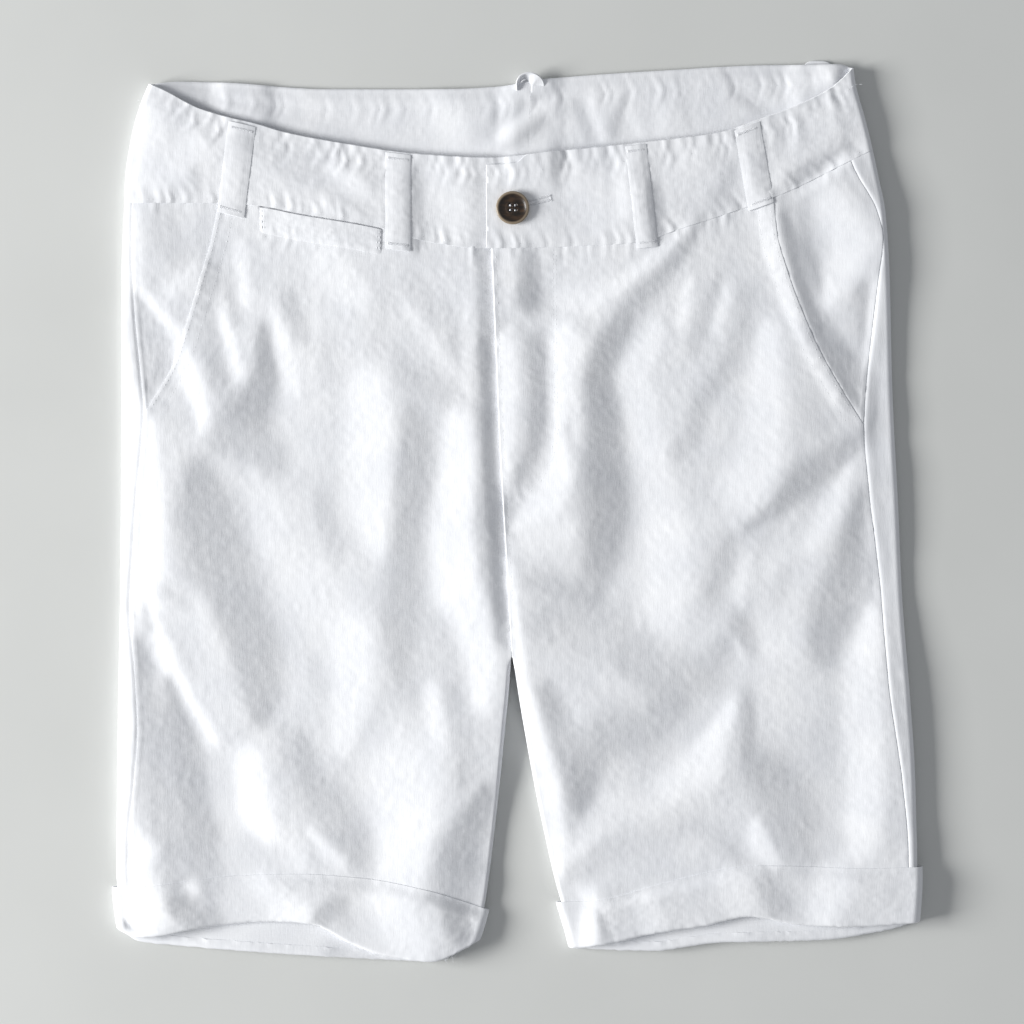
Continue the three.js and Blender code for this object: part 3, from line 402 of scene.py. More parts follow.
def painted(strokes):
    """The wanted tilt at every cell of the map."""
    unit = 1024 / MAP_CELLS
    axis = (np.arange(MAP_CELLS) + 0.5) * unit
    tilt = np.zeros((MAP_CELLS, MAP_CELLS))
    for value, *points in strokes:
        points = points if len(points) > 1 else points * 2
        reach = max(p[2] for p in points) * 1.6 + 4
        low = [int(max(0, (min(p[k] for p in points) - reach) / unit)) for k in (0, 1)]
        high = [int((max(p[k] for p in points) + reach) / unit) + 1 for k in (0, 1)]
        window = (slice(low[1], high[1]), slice(low[0], high[0]))
        x, y = np.meshgrid(axis[window[1]], axis[window[0]])
        away = np.full(x.shape, 9.0)
        for (x0, y0, w0), (x1, y1, w1) in zip(points[:-1], points[1:]):
            dx, dy = x1 - x0, y1 - y0
            t = np.clip(((x - x0) * dx + (y - y0) * dy) / max(dx * dx + dy * dy, 1e-9), 0, 1)
            away = np.minimum(away, np.hypot(x - x0 - t * dx, y - y0 - t * dy) / mix(w0, w1, t))
        tilt[window] = mix(tilt[window], value, 1 - step(0.4, 1.55, away))
    return tilt


def wave_numbers():
    k = 2 * np.pi * np.fft.fftfreq(MAP_CELLS, MAP_CELL)
    return np.meshgrid(k, k)


def folded(tilt):
    """Heights whose slope towards the light follows the tilt as well as one sheet can."""
    kx, ky = wave_numbers()
    angle = math.radians(LIGHT_AZIMUTH)
    k_light = kx * math.cos(angle) - ky * math.sin(angle)
    k_side = kx * math.sin(angle) + ky * math.cos(angle)
    stiffness = (2 * np.pi / FOLD_LENGTH) ** 2
    softened = np.fft.fft2(np.where(tilt < 0, SHADE_SHARE * tilt, tilt))
    spectrum = 1j * k_light * softened * np.exp(-((FOLD_SOFTNESS * np.hypot(kx, ky)) ** 2) / 2)
    spectrum /= k_light**2 + FOLD_SPREAD * k_side**2 + stiffness
    return FOLD_SLOPE * np.real(np.fft.ifft2(spectrum))


def crinkled(seed, shortest, longest):
    """Seeded small creases between two lengths, with a spread of 1."""
    kx, ky = wave_numbers()
    k = np.hypot(kx, ky * 0.6)
    band = np.exp(-((shortest * k / 6.3) ** 2)) * (1 - np.exp(-((longest * k / 6.3) ** 2)))
    noise = np.random.default_rng(seed).standard_normal((MAP_CELLS, MAP_CELLS))
    made = np.real(np.fft.ifft2(np.fft.fft2(noise) * band))
    made = np.where(made > 0, made, 0.5 * made)
    return made / made.std()


def sampled(grid, x, y):
    """A map's value at x, y in millimetres."""
    u = np.clip((x / PICTURE_UNIT + PICTURE_X0) * MAP_CELLS / 1024 - 0.5, 0, MAP_CELLS - 1.001)
    v = np.clip((PICTURE_Y0 - y / PICTURE_UNIT) * MAP_CELLS / 1024 - 0.5, 0, MAP_CELLS - 1.001)
    i, j = v.astype(int), u.astype(int)
    a, b = u - j, v - i
    return mix(mix(grid[i, j], grid[i, j + 1], a), mix(grid[i + 1, j], grid[i + 1, j + 1], a), b)


FRONT_FOLDS = folded(painted(FRONT_TILTS))
BACK_FOLDS = folded(painted(BACK_TILTS))
CRINKLES = crinkled(7, 6, 22)
FINE_CRINKLES = crinkled(11, 3.2, 9)

front_top, back_top = curve(FRONT_TOP), curve(BACK_TOP)
front_seam, back_seam = curve(FRONT_SEAM), curve(BACK_SEAM)
fly_edge = curve(FLY_EDGE)
for half_name, half in HALF.items():
    column = 1 if half_name == "right" else 2
    half["outer"] = curve(OUTER_EDGE, column)
    half["leg"] = curve(INNER_EDGE, column)
    half["inset"] = curve(OUTSEAM_INSET, column)
    half["mouth"] = curve(POCKET_MOUTH[half_name])
    half["mouth_end"] = POCKET_MOUTH[half_name][-1][0]
    half["cuff_top"] = curve(CUFF_TOP[half_name])
    half["front_fold"] = curve(CUFF_FRONT_FOLD[half_name])
    half["back_fold"] = curve(CUFF_BACK_FOLD[half_name])
RIGHT, LEFT = HALF["right"], HALF["left"]


def of_half(name, x, argument):
    """A curve of the half that x lies in."""
    return np.where(x < CROTCH_X, RIGHT[name](argument), LEFT[name](argument))


def outseam(half, y):
    return half["outer"](y) - half["side"] * half["inset"](y)


def centre_back(y):
    return mix(CROTCH_X, CENTRE_BACK_TOP_X, np.clip((y - CROTCH_Y) / (258 - CROTCH_Y), 0, 1))


def in_cuff(x, y):
    return step(-30, -12, of_half("cuff_top", x, x) - y)


def lift(x, y):
    """Height of the back's outer face, clear of the cuffs and belt loops under it."""
    over = 0
    for _, loop_x, width, _ in BACK_LOOPS:
        edge = width / 2 + 1
        over = np.maximum(over, 1 - step(edge, edge + BACK_LOOP_EASE, np.abs(x - loop_x)))
    return (CUFF + LAID_GAP) * in_cuff(x, y) + BACK_LOOP_LIFT * over * step(-16, -2, y - back_seam(x))


def cover(x, y):
    """Height of the front's outer face."""
    above = y - front_seam(x)
    near_waist, in_band, near_hem = step(-35, 4, above), step(-5, 5, above), in_cuff(x, y)
    rest = mix(mix(BODY_HEIGHT, WAIST_HEIGHT, near_waist), HEM_HEIGHT, near_hem)
    lively = 1 - 0.08 * in_band - 0.08 * near_hem
    folds = sampled(FRONT_FOLDS, x, y) + 0.05 * sampled(CRINKLES, x, y)
    in_back = mix(CLOTH, BAND, step(-4, 0, y - back_seam(x)))
    tab = (BAND + TAB_GAP) * (1 - step(22, 45, np.abs(x + 2))) * near_waist
    fly = (CLOTH + LAID_GAP) * (1 - step(12, 24, np.abs(x - fly_edge(y))))
    fly *= step(CROTCH_Y - 30, CROTCH_Y, y)
    beside = np.abs(x - of_half("mouth", x, y))
    mouth_end = np.where(x < CROTCH_X, RIGHT["mouth_end"], LEFT["mouth_end"])
    mouth = (CLOTH + LAID_GAP) * (1 - step(12, 24, beside)) * step(-20, 0, y - mouth_end)
    own = mix(CLOTH, BAND - BAND_PROUD, near_waist)
    least = lift(x, y) + in_back + LAID_GAP + np.maximum(np.maximum(tab, fly), mouth) + own
    return soft_max(rest + lively * folds, least, 0.8)


# Seams, with the puckers and the groove that their stitches pull
def level_line(level, low, high, offset, count=48):
    x = np.linspace(low, high, count)
    return np.c_[x, level(x) + offset]


def upright_line(across, low, high, offset, count=32):
    y = np.linspace(high, low, count)
    return np.c_[across(y) + offset, y]


def from_picture(points):
    return [((x - PICTURE_X0) * PICTURE_UNIT, (PICTURE_Y0 - y) * PICTURE_UNIT) for x, y in points]


J_STITCH = from_picture([
    (553, 250), (553, 300), (554, 380), (555, 430), (551, 455), (540, 478), (524, 494), (508, 502),
])


def pocket_lines(half):
    side, end = half["side"], half["mouth_end"]
    top = POCKET_MOUTH[half["name"]][0][0] - 4
    return [upright_line(half["mouth"], end + 2, top, -side * inset) for inset in (2, 9.5)]


def coin_line(drop):
    return level_line(front_seam, COIN_WELT["outer"] + 2, COIN_WELT["inner"] - 2, -drop)


def waist_lines(low, high):
    rows = ((front_top, -2.2), (front_top, -10), (front_seam, 2.2))
    return [level_line(level, low, high, offset) for level, offset in rows]


BAND_LINES = waist_lines(-226, -20) + waist_lines(-15, 208)
FLY_LINE = upright_line(fly_edge, -70, 155, 2.2)
FRONT_LINES = pocket_lines(RIGHT) + pocket_lines(LEFT) + [J_STITCH, coin_line(18), FLY_LINE]
INSIDE_LINES = [level_line(back_top, -205, 196, -12)]


def ripple(run, seed):
    """Uneven waves along a seam: some stretches are gathered, others lie almost flat."""
    *phases, slow, quick = np.random.default_rng(seed).uniform(0, 6.28, 6)
    gathered = 0.55 + 0.45 * np.sin(run / 19 + slow) * np.sin(run / 7.5 + quick)
    waves = ((5.2, 0.6), (7.9, 1.0), (13.0, 1.0), (4.1, 0.3))
    waving = sum(a * np.sin(2 * np.pi * run / length + p) for (length, a), p in zip(waves, phases))
    return gathered * waving / 1.6


def puckers(lines, x, y, size):
    height, reach = size
    made = np.zeros(np.shape(x))
    for i, line in enumerate(lines):
        away, run = along_line(line, x, y)
        made += height * ripple(run + 0.4 * away, 31 + i) * np.exp(-((away / reach) ** 2))
        made -= 0.07 * np.exp(-((away / 1.4) ** 2))
    return made


# Grids of points
def wide(count):
    return np.linspace(0, 1, count + 1)


def rounds(part, degrees):
    return [(part, a) for a in degrees]


def place(half, layer, column, levels, weights):
    """The points of one column, over all rows: x and y each depend on the other, so in rounds."""
    part, t = column
    side, rows = half["side"], weights.shape[1]
    x, y = np.full(rows, side * 120.0), np.zeros(rows)
    is_round = part in ("outer", "inner")
    sine = math.sin(math.radians(t)) if is_round else 0
    cosine = math.sqrt(1 - sine * sine)
    rise = 0.5 + 0.5 * sine if is_round else float(part == "top")
    for _ in range(8):
        share = rise
        if part == "inner":
            share = mix(float(t >= 0), rise, layer["closed"](y))
        y = sum(w * mix(back(x), front(x), share) for w, (front, back) in zip(weights, levels))
        outer_start = half["outer"](y) + side * (layer["outset"] - layer["outer_round"])
        inner_start = layer["inner_edge"](y, rise) + side * layer["inner_round"]
        if part == "under":
            x = mix(inner_start, outer_start, t)
        elif part == "top":
            x = mix(layer["from"](y, outer_start), layer["to"](y, inner_start), t)
        elif part == "outer":
            x = outer_start + side * layer["outer_round"] * cosine
        else:
            x = inner_start - side * layer["inner_round"] * cosine
    if part == "under":
        z = layer["bottom"](x, y)
    elif part == "top":
        z = layer["top"](x, y)
    else:
        start = outer_start if part == "outer" else inner_start
        z = mix(layer["bottom"](start, y), layer["top"](start, y), rise)
        if part == "inner":
            flat = layer["top"](x, y) if t >= 0 else layer["bottom"](x, y)
            z = mix(flat, z, layer["closed"](y))
    return np.stack([x, y, z], axis=1)


def weighted(counts):
    """How much of each level goes into each row: counts are the rows between one level and the next."""
    steps = np.concatenate([[0]] + [k + wide(n)[1:] for k, n in enumerate(counts)])
    return np.clip(1 - np.abs(steps[None, :] - np.arange(len(counts) + 1)[:, None]), 0, 1)


def grid_of(half, layer, columns, levels, counts):
    weights = weighted(counts)
    return np.stack([place(half, layer, c, levels, weights) for c in columns], axis=1)


def normals(points):
    """Unit normals of a grid, with ends that bend on as the rows do."""
    along = np.empty_like(points)
    along[:, 1:-1] = points[:, 2:] - points[:, :-2]
    along[:, 0] = 4 * points[:, 1] - 3 * points[:, 0] - points[:, 2]
    along[:, -1] = 3 * points[:, -1] - 4 * points[:, -2] + points[:, -3]
    down = np.gradient(points, axis=0)
    out = np.cross(along, down)
    return out / np.maximum(np.linalg.norm(out, axis=2, keepdims=True), 1e-9)


def shell(points, thickness, side, rim=0.4):
    """A closed sheet of cloth: the outer face, the inner face and a rounded rim."""
    rows, columns = points.shape[:2]
    out = normals(points) * side
    inner = points - out * np.broadcast_to(thickness, points.shape[:2])[..., None]
    index = np.arange(rows * columns).reshape(rows, columns)
    ring = np.concatenate([index[0, :-1], index[:-1, -1], index[-1, :0:-1], index[:0:-1, 0]])
    flat_out, flat_in = points.reshape(-1, 3), inner.reshape(-1, 3)
    pulled = points.copy()
    pulled[0], pulled[-1] = points[1], points[-2]
    pulled[:, 0], pulled[:, -1] = pulled[:, 1], pulled[:, -2]
    away = (points - pulled).reshape(-1, 3)[ring]
    away /= np.maximum(np.linalg.norm(away, axis=1, keepdims=True), 1e-9)
    gap = np.linalg.norm(flat_out[ring] - flat_in[ring], axis=1, keepdims=True)
    edge = 0.5 * (flat_out[ring] + flat_in[ring]) + away * gap * rim
    count = rows * columns
    vertices = np.concatenate([flat_out, flat_in, edge])
    a, b = index[:-1, :-1].ravel(), index[:-1, 1:].ravel()
    c, d = index[1:, 1:].ravel(), index[1:, :-1].ravel()
    rim_at = 2 * count + np.arange(len(ring))
    following, rim_next = np.roll(ring, -1), np.roll(rim_at, -1)
    faces = [
        np.c_[a, d, c, b], np.c_[a, b, c, d] + count,
        np.c_[ring, following, rim_next, rim_at], np.c_[rim_at, rim_next, following + count, ring + count],
    ]
    faces = np.concatenate(faces)
    return vertices, faces if side < 0 else faces[:, ::-1]


def mesh_object(name, vertices, faces, finish):
    mesh = bpy.data.meshes.new(name)
    faces = np.asarray(faces)
    mesh.vertices.add(len(vertices))
    mesh.vertices.foreach_set("co", (np.asarray(vertices) * 0.001).astype(np.float32).ravel())
    mesh.loops.add(faces.size)
    mesh.loops.foreach_set("vertex_index", faces.astype(np.int32).ravel())
    mesh.polygons.add(len(faces))
    mesh.polygons.foreach_set("loop_start", np.arange(0, faces.size, faces.shape[1], dtype=np.int32))
    mesh.polygons.foreach_set("use_smooth", np.full(len(faces), True))
    mesh.update(calc_edges=True)
    mesh.validate()
    mesh.set_sharp_from_angle(angle=math.radians(SHEET_SHARP_ANGLE))
    made = bpy.data.objects.new(name, mesh)
    bpy.context.scene.collection.objects.link(made)
    made.data.materials.append(finish)
    return made


def dress(made, node):
    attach(made, "root")
    if node:
        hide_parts(node)


def cloth_piece(node, sheet, linen):
    dress(mesh_object(node + "_cloth", *sheet, linen), node)


# Pieces of the garment
def sink(depth, distance, ramp=LAP_RAMP):
    """How far a piece sinks where its edge runs under the next one."""
    return depth * (1 - step(0, ramp, distance))


def closed_leg(y):
    return 1 - step(CROTCH_Y - 12, CROTCH_Y, y)


def under_folds(x, y):
    """Shallow folds of the back, off the surface it lies on."""
    folds = 0.45 * np.clip(sampled(FRONT_FOLDS, -x, y) / 2.2, 0, 1)
    return folds + 0.08 * np.clip(sampled(CRINKLES, -x, y), 0, 2)


def hem_curl(x, y):
    """The back of a cuff lifts off the surface where the front of it stands away."""
    fold = of_half("back_fold", x, x)
    opening = np.clip(of_half("front_fold", x, x) - fold, 0, 18)
    return HEM_CURL * opening * (1 - step(0, 24, y - fold))


def under_band(x, y):
    """How far the top of the body sinks under the waistband."""
    return sink(TUCK_SINK, front_seam(x) + TUCK - y, TUCK)


def swell(half, away):
    """On the wearer's left the lower piece swells up beside the edge that lies on it."""
    return 0.4 * step(-0.2, 1.3, away) * (1 - step(1.3, 10, away)) if half["side"] > 0 else 0


def seam_ridge(half, x, y):
    """The fine ridge along the outseam, just inside the edge of the upper piece."""
    height = 0.22 if half["side"] < 0 else 0.1
    return height * np.exp(-(((half["side"] * (outseam(half, y) - x) - 1.4) / 1.1) ** 2))


def seam_edge(half, x, y):
    """Thickness of a piece that thins out towards the outseam."""
    return mix(MOUTH_EDGE, CLOTH, step(0, 8, half["side"] * (outseam(half, y) - x)))


def body_bottom(x, y):
    shown = 1 - in_cuff(x, y)
    return lift(x, y) + under_folds(x, y) * shown - 0.35 * (1 - shown) + hem_curl(x, y)


def body_layer(half):
    return {
        "outset": 0,
        "outer_round": OUTER_ROUND,
        "inner_round": INNER_ROUND,
        "closed": closed_leg,
        "bottom": body_bottom,
        "top": cover,
        "from": lambda y, start: start,
        "to": lambda y, start: start,
        "inner_edge": lambda y, rise: np.where(y <= CROTCH_Y, half["leg"](y), centre_back(y)),
    }


def body_levels(half):
    def flat(level):
        return (lambda x: level + 0 * x, lambda x: level + 0 * x)

    waist = (lambda x: front_seam(x) + TUCK, lambda x: back_seam(x) - 1.2)
    hem = (lambda x: half["front_fold"](x) + 6, lambda x: half["back_fold"](x) + 4.2)
    return [waist, flat(half["mouth_end"]), flat(CROTCH_Y), hem]


def front_cloth(x, y):
    """Height of a front, before its edges sink under other pieces."""
    return cover(x, y) + puckers(FRONT_LINES, x, y, FRONT_PUCKER) + FINE_RELIEF * sampled(FINE_CRINKLES, x, y)


def coin_slit(x, y):
    """Depth of the coin pocket's opening, right under the waistband."""
    outer, inner = COIN_WELT["outer"], COIN_WELT["inner"]
    along = step(outer - 1, outer + 1, x) * (1 - step(inner - 1, inner + 1, x))
    return 1.1 * along * np.exp(-(((y - front_seam(x) + 0.5) / 0.9) ** 2))


def front_face(half):
    """Height of a front's outer face, with the stitched hem of its pocket mouth."""
    side, end = half["side"], half["mouth_end"]
    edge = upright_line(half["mouth"], end - 4, 196, 0)

    def face(x, y):
        from_mouth = along_line(edge, x, y)[0]
        made = front_cloth(x, y) + seam_ridge(half, x, y) - under_band(x, y)
        hem = 1 - step(MOUTH_HEM - 1.2, MOUTH_HEM, from_mouth)
        made += MOUTH_HEM_RISE * hem * step(end - 16, end + 6, y)
        ridge = np.exp(-(((from_mouth - 1.6) / 1.2) ** 2))
        made += (0.3 if side < 0 else 0.1) * ridge * step(end - 4, end + 6, y)
        made += 0.2 * ripple(x * 1.1, 5) * step(-14, 0, y - front_seam(x))
        if side < 0:
            made -= coin_slit(x, y)
            made -= step(CROTCH_Y, CROTCH_Y + 12, y) * sink(CLOTH + LAID_GAP, fly_edge(y) - x)
        return made

    return face


def front_edge(half, y):
    lap = 6 * step(CROTCH_Y + 16, CROTCH_Y + 46, y) if half["side"] < 0 else 0
    return np.where(y <= CROTCH_Y, half["leg"](y), fly_edge(y) + lap + half["side"] * 0.3)


def make_front(half, linen):
    end, side = half["mouth_end"], half["side"]
    layer = body_layer(half) | {
        "inner_edge": lambda y, rise: front_edge(half, y),
        "from": lambda y, start: np.where(y > end, half["mouth"](y), outseam(half, y)),
        "top": front_face(half),
    }
    columns = [("top", t) for t in wide(150)] + rounds("inner", (78, 62, 45, 30, 16, 4))
    points = grid_of(half, layer, columns, body_levels(half), (84, 90, 112))
    x, y = points[..., 0], points[..., 1]
    from_mouth = along_line(upright_line(half["mouth"], end, 196, 0), x, y)[0]
    thickness = np.minimum(mix(MOUTH_EDGE, CLOTH, step(0, MOUTH_HEM, from_mouth)), seam_edge(half, x, y))
    cloth_piece("front_" + half["name"], shell(points, thickness, side), linen)


def make_pocket_side(half, linen):
    side, end = half["side"], half["mouth_end"]

    def face(x, y):
        away = side * (x - half["mouth"](y))
        made = cover(x, y) - sink(MOUTH_EDGE + 0.1, away) + swell(half, away) + seam_ridge(half, x, y)
        made -= under_band(x, y)
        made += 0.2 * ripple(x * 1.1, 9) * step(-12, 0, y - front_seam(x))
        return made + FINE_RELIEF * sampled(FINE_CRINKLES, x, y)

    layer = body_layer(half) | {
        "from": lambda y, start: outseam(half, y),
        "to": lambda y, start: half["mouth"](y) - side * 6,
        "top": face,
    }
    levels = body_levels(half)[:2]
    points = grid_of(half, layer, [("top", t) for t in wide(40)], levels, (84,))
    thickness = seam_edge(half, points[..., 0], points[..., 1])
    cloth_piece("pocket_side_" + half["name"], shell(points, thickness, side), linen)


def make_back(half, linen):
    side = half["side"]

    def face(x, y):
        away = side * (x - outseam(half, y))
        return cover(x, y) - under_band(x, y) - sink(MOUTH_EDGE + 0.12, away, 2.5) + swell(half, away)

    layer = body_layer(half) | {"to": lambda y, start: outseam(half, y) - side * 4, "top": face}
    columns = (
        rounds("inner", (-4, -25, -45, -70))
        + [("under", t) for t in wide(56)]
        + rounds("outer", range(-75, 76, 15))
        + [("top", t) for t in wide(22)]
    )
    points = grid_of(half, layer, columns, body_levels(half), (50, 52, 70))
    cloth_piece("back_" + half["name"], shell(points, CLOTH, side), linen)


def band_face(half):
    is_under = half["side"] < 0

    def face(x, y):
        made = cover(x, y) + BAND_PROUD + puckers(BAND_LINES, x, y, BAND_PUCKER)
        made += BAND_RELIEF * sampled(FINE_CRINKLES, x, y)
        return made - (sink(TAB_CLOTH + 0.15, TAB_EDGE_X + 8 - x, 24) if is_under else 0)

    return face


def band_inside(x, y):
    """Height of the band's outer face at the back, where its inside shows above the front."""
    shown = step(-5, 8, y - front_top(x))
    folds = soft_max(sampled(BACK_FOLDS, x, y) + 0.9, 0, 0.8)
    fine = puckers(INSIDE_LINES, x, y, INSIDE_PUCKER) + 0.25 + BAND_RELIEF * sampled(FINE_CRINKLES, x, y)
    return lift(x, y) + shown * np.clip(folds + fine, 0, 3.6)


def make_waistband(half, linen):
    side = half["side"]
    is_under = side < 0
    layer = body_layer(half) | {
        "inner_round": 0,
        "bottom": band_inside,
        "top": band_face(half),
        "inner_edge": lambda y, rise: centre_back(y) if rise < 0.5 else TAB_EDGE_X + 0 * y,
        "to": lambda y, start: TAB_EDGE_X + (TAB_LAP if is_under else 0) + 0 * y,
    }
    columns = (
        [("under", t) for t in wide(150)]
        + rounds("outer", range(-75, 76, 15))
        + [("top", t) for t in wide(170)]
    )

    def top_edge(x):
        return front_top(x) - (0 if is_under else TAB_DROP * (1 - step(0, 7, x)))

    levels = [(top_edge, back_top), (front_seam, back_seam)]
    points = grid_of(half, layer, columns, levels, (40,))
    is_top = np.arange(len(columns)) >= len(columns) - 171
    over_tab = is_top * (1 - step(TAB_LAP, TAB_LAP + 12, points[..., 0] - TAB_EDGE_X))
    thickness = BAND if is_under else mix(BAND, TAB_CLOTH, over_tab)
    if not is_under:
        tab_edge = mix(0.5, BAND, step(0, 8, points[..., 0] - TAB_EDGE_X))
        thickness = np.where(is_top, np.minimum(thickness, tab_edge), thickness)
    for edge, thin in ((0, 1.0), (-1, 0.25)):
        away = np.linalg.norm(points - points[edge], axis=2)
        thickness = np.minimum(thickness, mix(thin, BAND, step(0, 8, away)))
    cloth_piece("waistband_" + half["name"], shell(points, thickness, side), linen)


def rolled_in(points, cloth, side, back=4.0, count=8):
    """The lower edge rolled in by half a turn and laid back up inside, with its thickness."""
    out = normals(points)[-1] * side
    down = points[-1] - points[-2]
    down -= out * np.sum(down * out, axis=1, keepdims=True)
    down /= np.maximum(np.linalg.norm(down, axis=1, keepdims=True), 1e-9)
    rows, thickness = [], []
    for a in np.linspace(0, np.pi, count + 1)[1:]:
        rows.append(points[-1] + ROLL * (math.sin(a) * down - (1 - math.cos(a)) * out))
    for b in np.linspace(0, back, 4)[1:]:
        rows.append(rows[count - 1] - b * (down - 0.06 * out))
    thickness.append(np.linspace(CUFF, CLOTH, count + 1)[1:])
    thickness.append(np.linspace(CLOTH, 0.3, 4)[1:])
    made = np.concatenate([points, np.array(rows)])
    rolled = np.repeat(np.concatenate(thickness)[:, None], made.shape[1], axis=1)
    return made, np.concatenate([cloth, rolled])


def cuff_edge(half, x, y):
    """How fully a cuff stands off the leg: its upper edge is pressed flat."""
    return step(0, 9, half["cuff_top"](x) - y)


def roll_end(x, y):
    """Depth of the roll's open end, at the outer corner of the right cuff."""
    turn = math.radians(-22)
    across, along = x - ROLL_END_X, y - ROLL_END_Y
    across, along = (
        across * math.cos(turn) + along * math.sin(turn),
        along * math.cos(turn) - across * math.sin(turn),
    )
    return ROLL_END_DEPTH * np.exp(-(((across / 6) ** 2 + (along / 2.6) ** 2) ** 1.5))


def cuff_layer(half):
    side = half["side"]

    def top(x, y):
        made = cover(x, y) + mix(CUFF_EDGE + 0.1, LAID_GAP + CUFF, cuff_edge(half, x, y))
        lines = [level_line(half["cuff_top"], *half["cuff_span"], -2.4)]
        made += puckers(lines, x, y, CUFF_PUCKER) + CUFF_RELIEF * sampled(FINE_CRINKLES, x, y)
        return made - roll_end(x, y)

    return body_layer(half) | {
        "outset": CUFF_OUTSET,
        "outer_round": CUFF_ROUND,
        "inner_round": CUFF_ROUND,
        "closed": lambda y: 1 + 0 * y,
        "bottom": lambda x, y: 0.15 * np.clip(sampled(FINE_CRINKLES, x, y), 0, 1) + hem_curl(x, y),
        "top": top,
        "inner_edge": lambda y, rise: half["leg"](y) - side * CUFF_OUTSET,
    }


def cuff_sheet(half, points):
    pressed = mix(CUFF_EDGE, CUFF, cuff_edge(half, points[..., 0], points[..., 1]))
    return shell(*rolled_in(points, pressed, half["side"]), half["side"], 0.15)


def make_cuff(half, linen):
    side = half["side"]
    outer_inset, inner_inset = CUFF_SEAMS[half["name"]]
    spans = [CUFF_TOP[half["name"]][0][0], CUFF_TOP[half["name"]][-1][0]]
    half["cuff_span"] = (min(spans), max(spans))
    layer = cuff_layer(half)

    def outer_seam(y):
        return half["outer"](y) + side * (CUFF_OUTSET - outer_inset)

    def inner_seam(y):
        return half["leg"](y) - side * (CUFF_OUTSET - inner_inset)

    folds = (lambda x: half["front_fold"](x) + ROLL, lambda x: half["back_fold"](x) + ROLL)
    levels = [(half["cuff_top"], half["cuff_top"]), folds]
    front = layer | {"from": lambda y, start: outer_seam(y), "to": lambda y, start: inner_seam(y)}
    points = grid_of(half, front, [("top", t) for t in wide(140)], levels, (32,))
    cloth_piece("cuff_front_" + half["name"], cuff_sheet(half, points), linen)
    strip = layer | {"from": lambda y, start: inner_seam(y), "to": lambda y, start: start}
    back = layer | {"to": lambda y, start: outer_seam(y)}
    inner_part = grid_of(half, strip, [("top", t) for t in wide(14)], levels, (32,))
    columns = (
        rounds("inner", range(75, -76, -15))
        + [("under", t) for t in wide(90)]
        + rounds("outer", range(-75, 76, 15))
        + [("top", t) for t in wide(6)]
    )
    points = np.concatenate([inner_part, grid_of(half, back, columns, levels, (32,))], axis=1)
    cloth_piece("cuff_back_" + half["name"], cuff_sheet(half, points), linen)


# Belt loops, coin pocket and button
def strip_grid(place_at, height, columns, rows):
    u, v = np.meshgrid(wide(columns), wide(rows))
    x, y = place_at(u, v)
    return np.stack([x, y, height(x, y, u, v)], axis=2)


def band_slope(x):
    return (front_top(x + 5) - front_top(x - 5)) / 10


def loop_bulge(u):
    return 0.1 + LOOP_CLOTH * (1 - np.abs(2 * u - 1) ** 2.6)


def make_front_loop(loop, linen):
    name, top_x, top_y, end_x, end_y, width = loop
    length = top_y - end_y

    def place_at(u, v):
        middle = mix(top_x, end_x, v)
        return middle + (u - 0.5) * width, mix(top_y, end_y, v) + (u - 0.5) * width * band_slope(middle)

    def height(x, y, u, v):
        run = v * length
        from_end = np.minimum(run, length - run)
        made = cover(x, y) + BAND_PROUD + 0.05 + loop_bulge(u)
        made += 0.12 * (1 - step(4, 6, from_end)) + 0.12 * step(6, 18, from_end)
        made -= 0.06 * np.exp(-((np.abs(u - 0.5) - 0.33) ** 2) / 0.002)
        return made + 0.05 * ripple(run + 3 * u, len(name)) - 0.05 * np.exp(-((from_end - 3) ** 2) / 1.2)

    points = strip_grid(place_at, height, 16, 60)
    thickness = np.repeat(loop_bulge(wide(16))[None, :], len(points), axis=0)
    cloth_piece(name, shell(points, thickness, -1), linen)


def make_back_loop(loop, linen):
    name, middle, width, peek = loop
    low, high = back_seam(middle) + 1, back_top(middle) + peek

    def place_at(u, v):
        rounding = 1.6 * np.abs(2 * u - 1) ** 4 * (v < 0.5) * (1 - v)
        return middle + (u - 0.5) * width, mix(high, low, v) - rounding

    def height(x, y, u, v):
        return BACK_LOOP_THICKNESS + 0.15 - 0.3 * np.abs(2 * u - 1) ** 6 + 0 * x

    points = strip_grid(place_at, height, 12, 40)
    cloth_piece(name, shell(points, BACK_LOOP_THICKNESS, -1), linen)


LOOP_ARCH = [
    (516, 91), (515.5, 83.5), (518.5, 77.5), (524.5, 73.5), (532, 73.5), (539, 77), (544, 83), (545, 93),
]


def make_loop_arch(linen):
    """The centre-back loop bows up over the band: on its edge at first, then flat."""
    path = np.array(from_picture(LOOP_ARCH))
    run = np.linspace(0, len(path) - 1, 49)
    path = np.c_[np.interp(run, range(len(path)), path[:, 0]), np.interp(run, range(len(path)), path[:, 1])]
    for _ in range(12):
        path[1:-1] = 0.25 * path[:-2] + 0.5 * path[1:-1] + 0.25 * path[2:]
    tangent = np.gradient(path, axis=0)
    tangent /= np.linalg.norm(tangent, axis=1, keepdims=True)
    turn = np.radians(np.interp(run, [0, 2.5, 4.5, 7], [12, 25, 70, 84]))[:, None]
    inward = np.c_[tangent[:, 1], -tangent[:, 0], np.zeros(len(path))]
    across = np.cos(turn) * np.array([0, 0, -1.0]) + np.sin(turn) * inward
    width = np.interp(run, [0, 3, 5, 7], [4.2, 4.6, 6.5, 8])[:, None]
    top = np.c_[path, np.interp(run, [0, 2, 5, 7], [5.6, 6.6, 5.6, 2.6])]
    points = np.stack([top + across * width * t for t in wide(10)], axis=0)
    dress(mesh_object("belt_loop_back_centre_arch", *shell(points, 1.1, 1), linen), None)


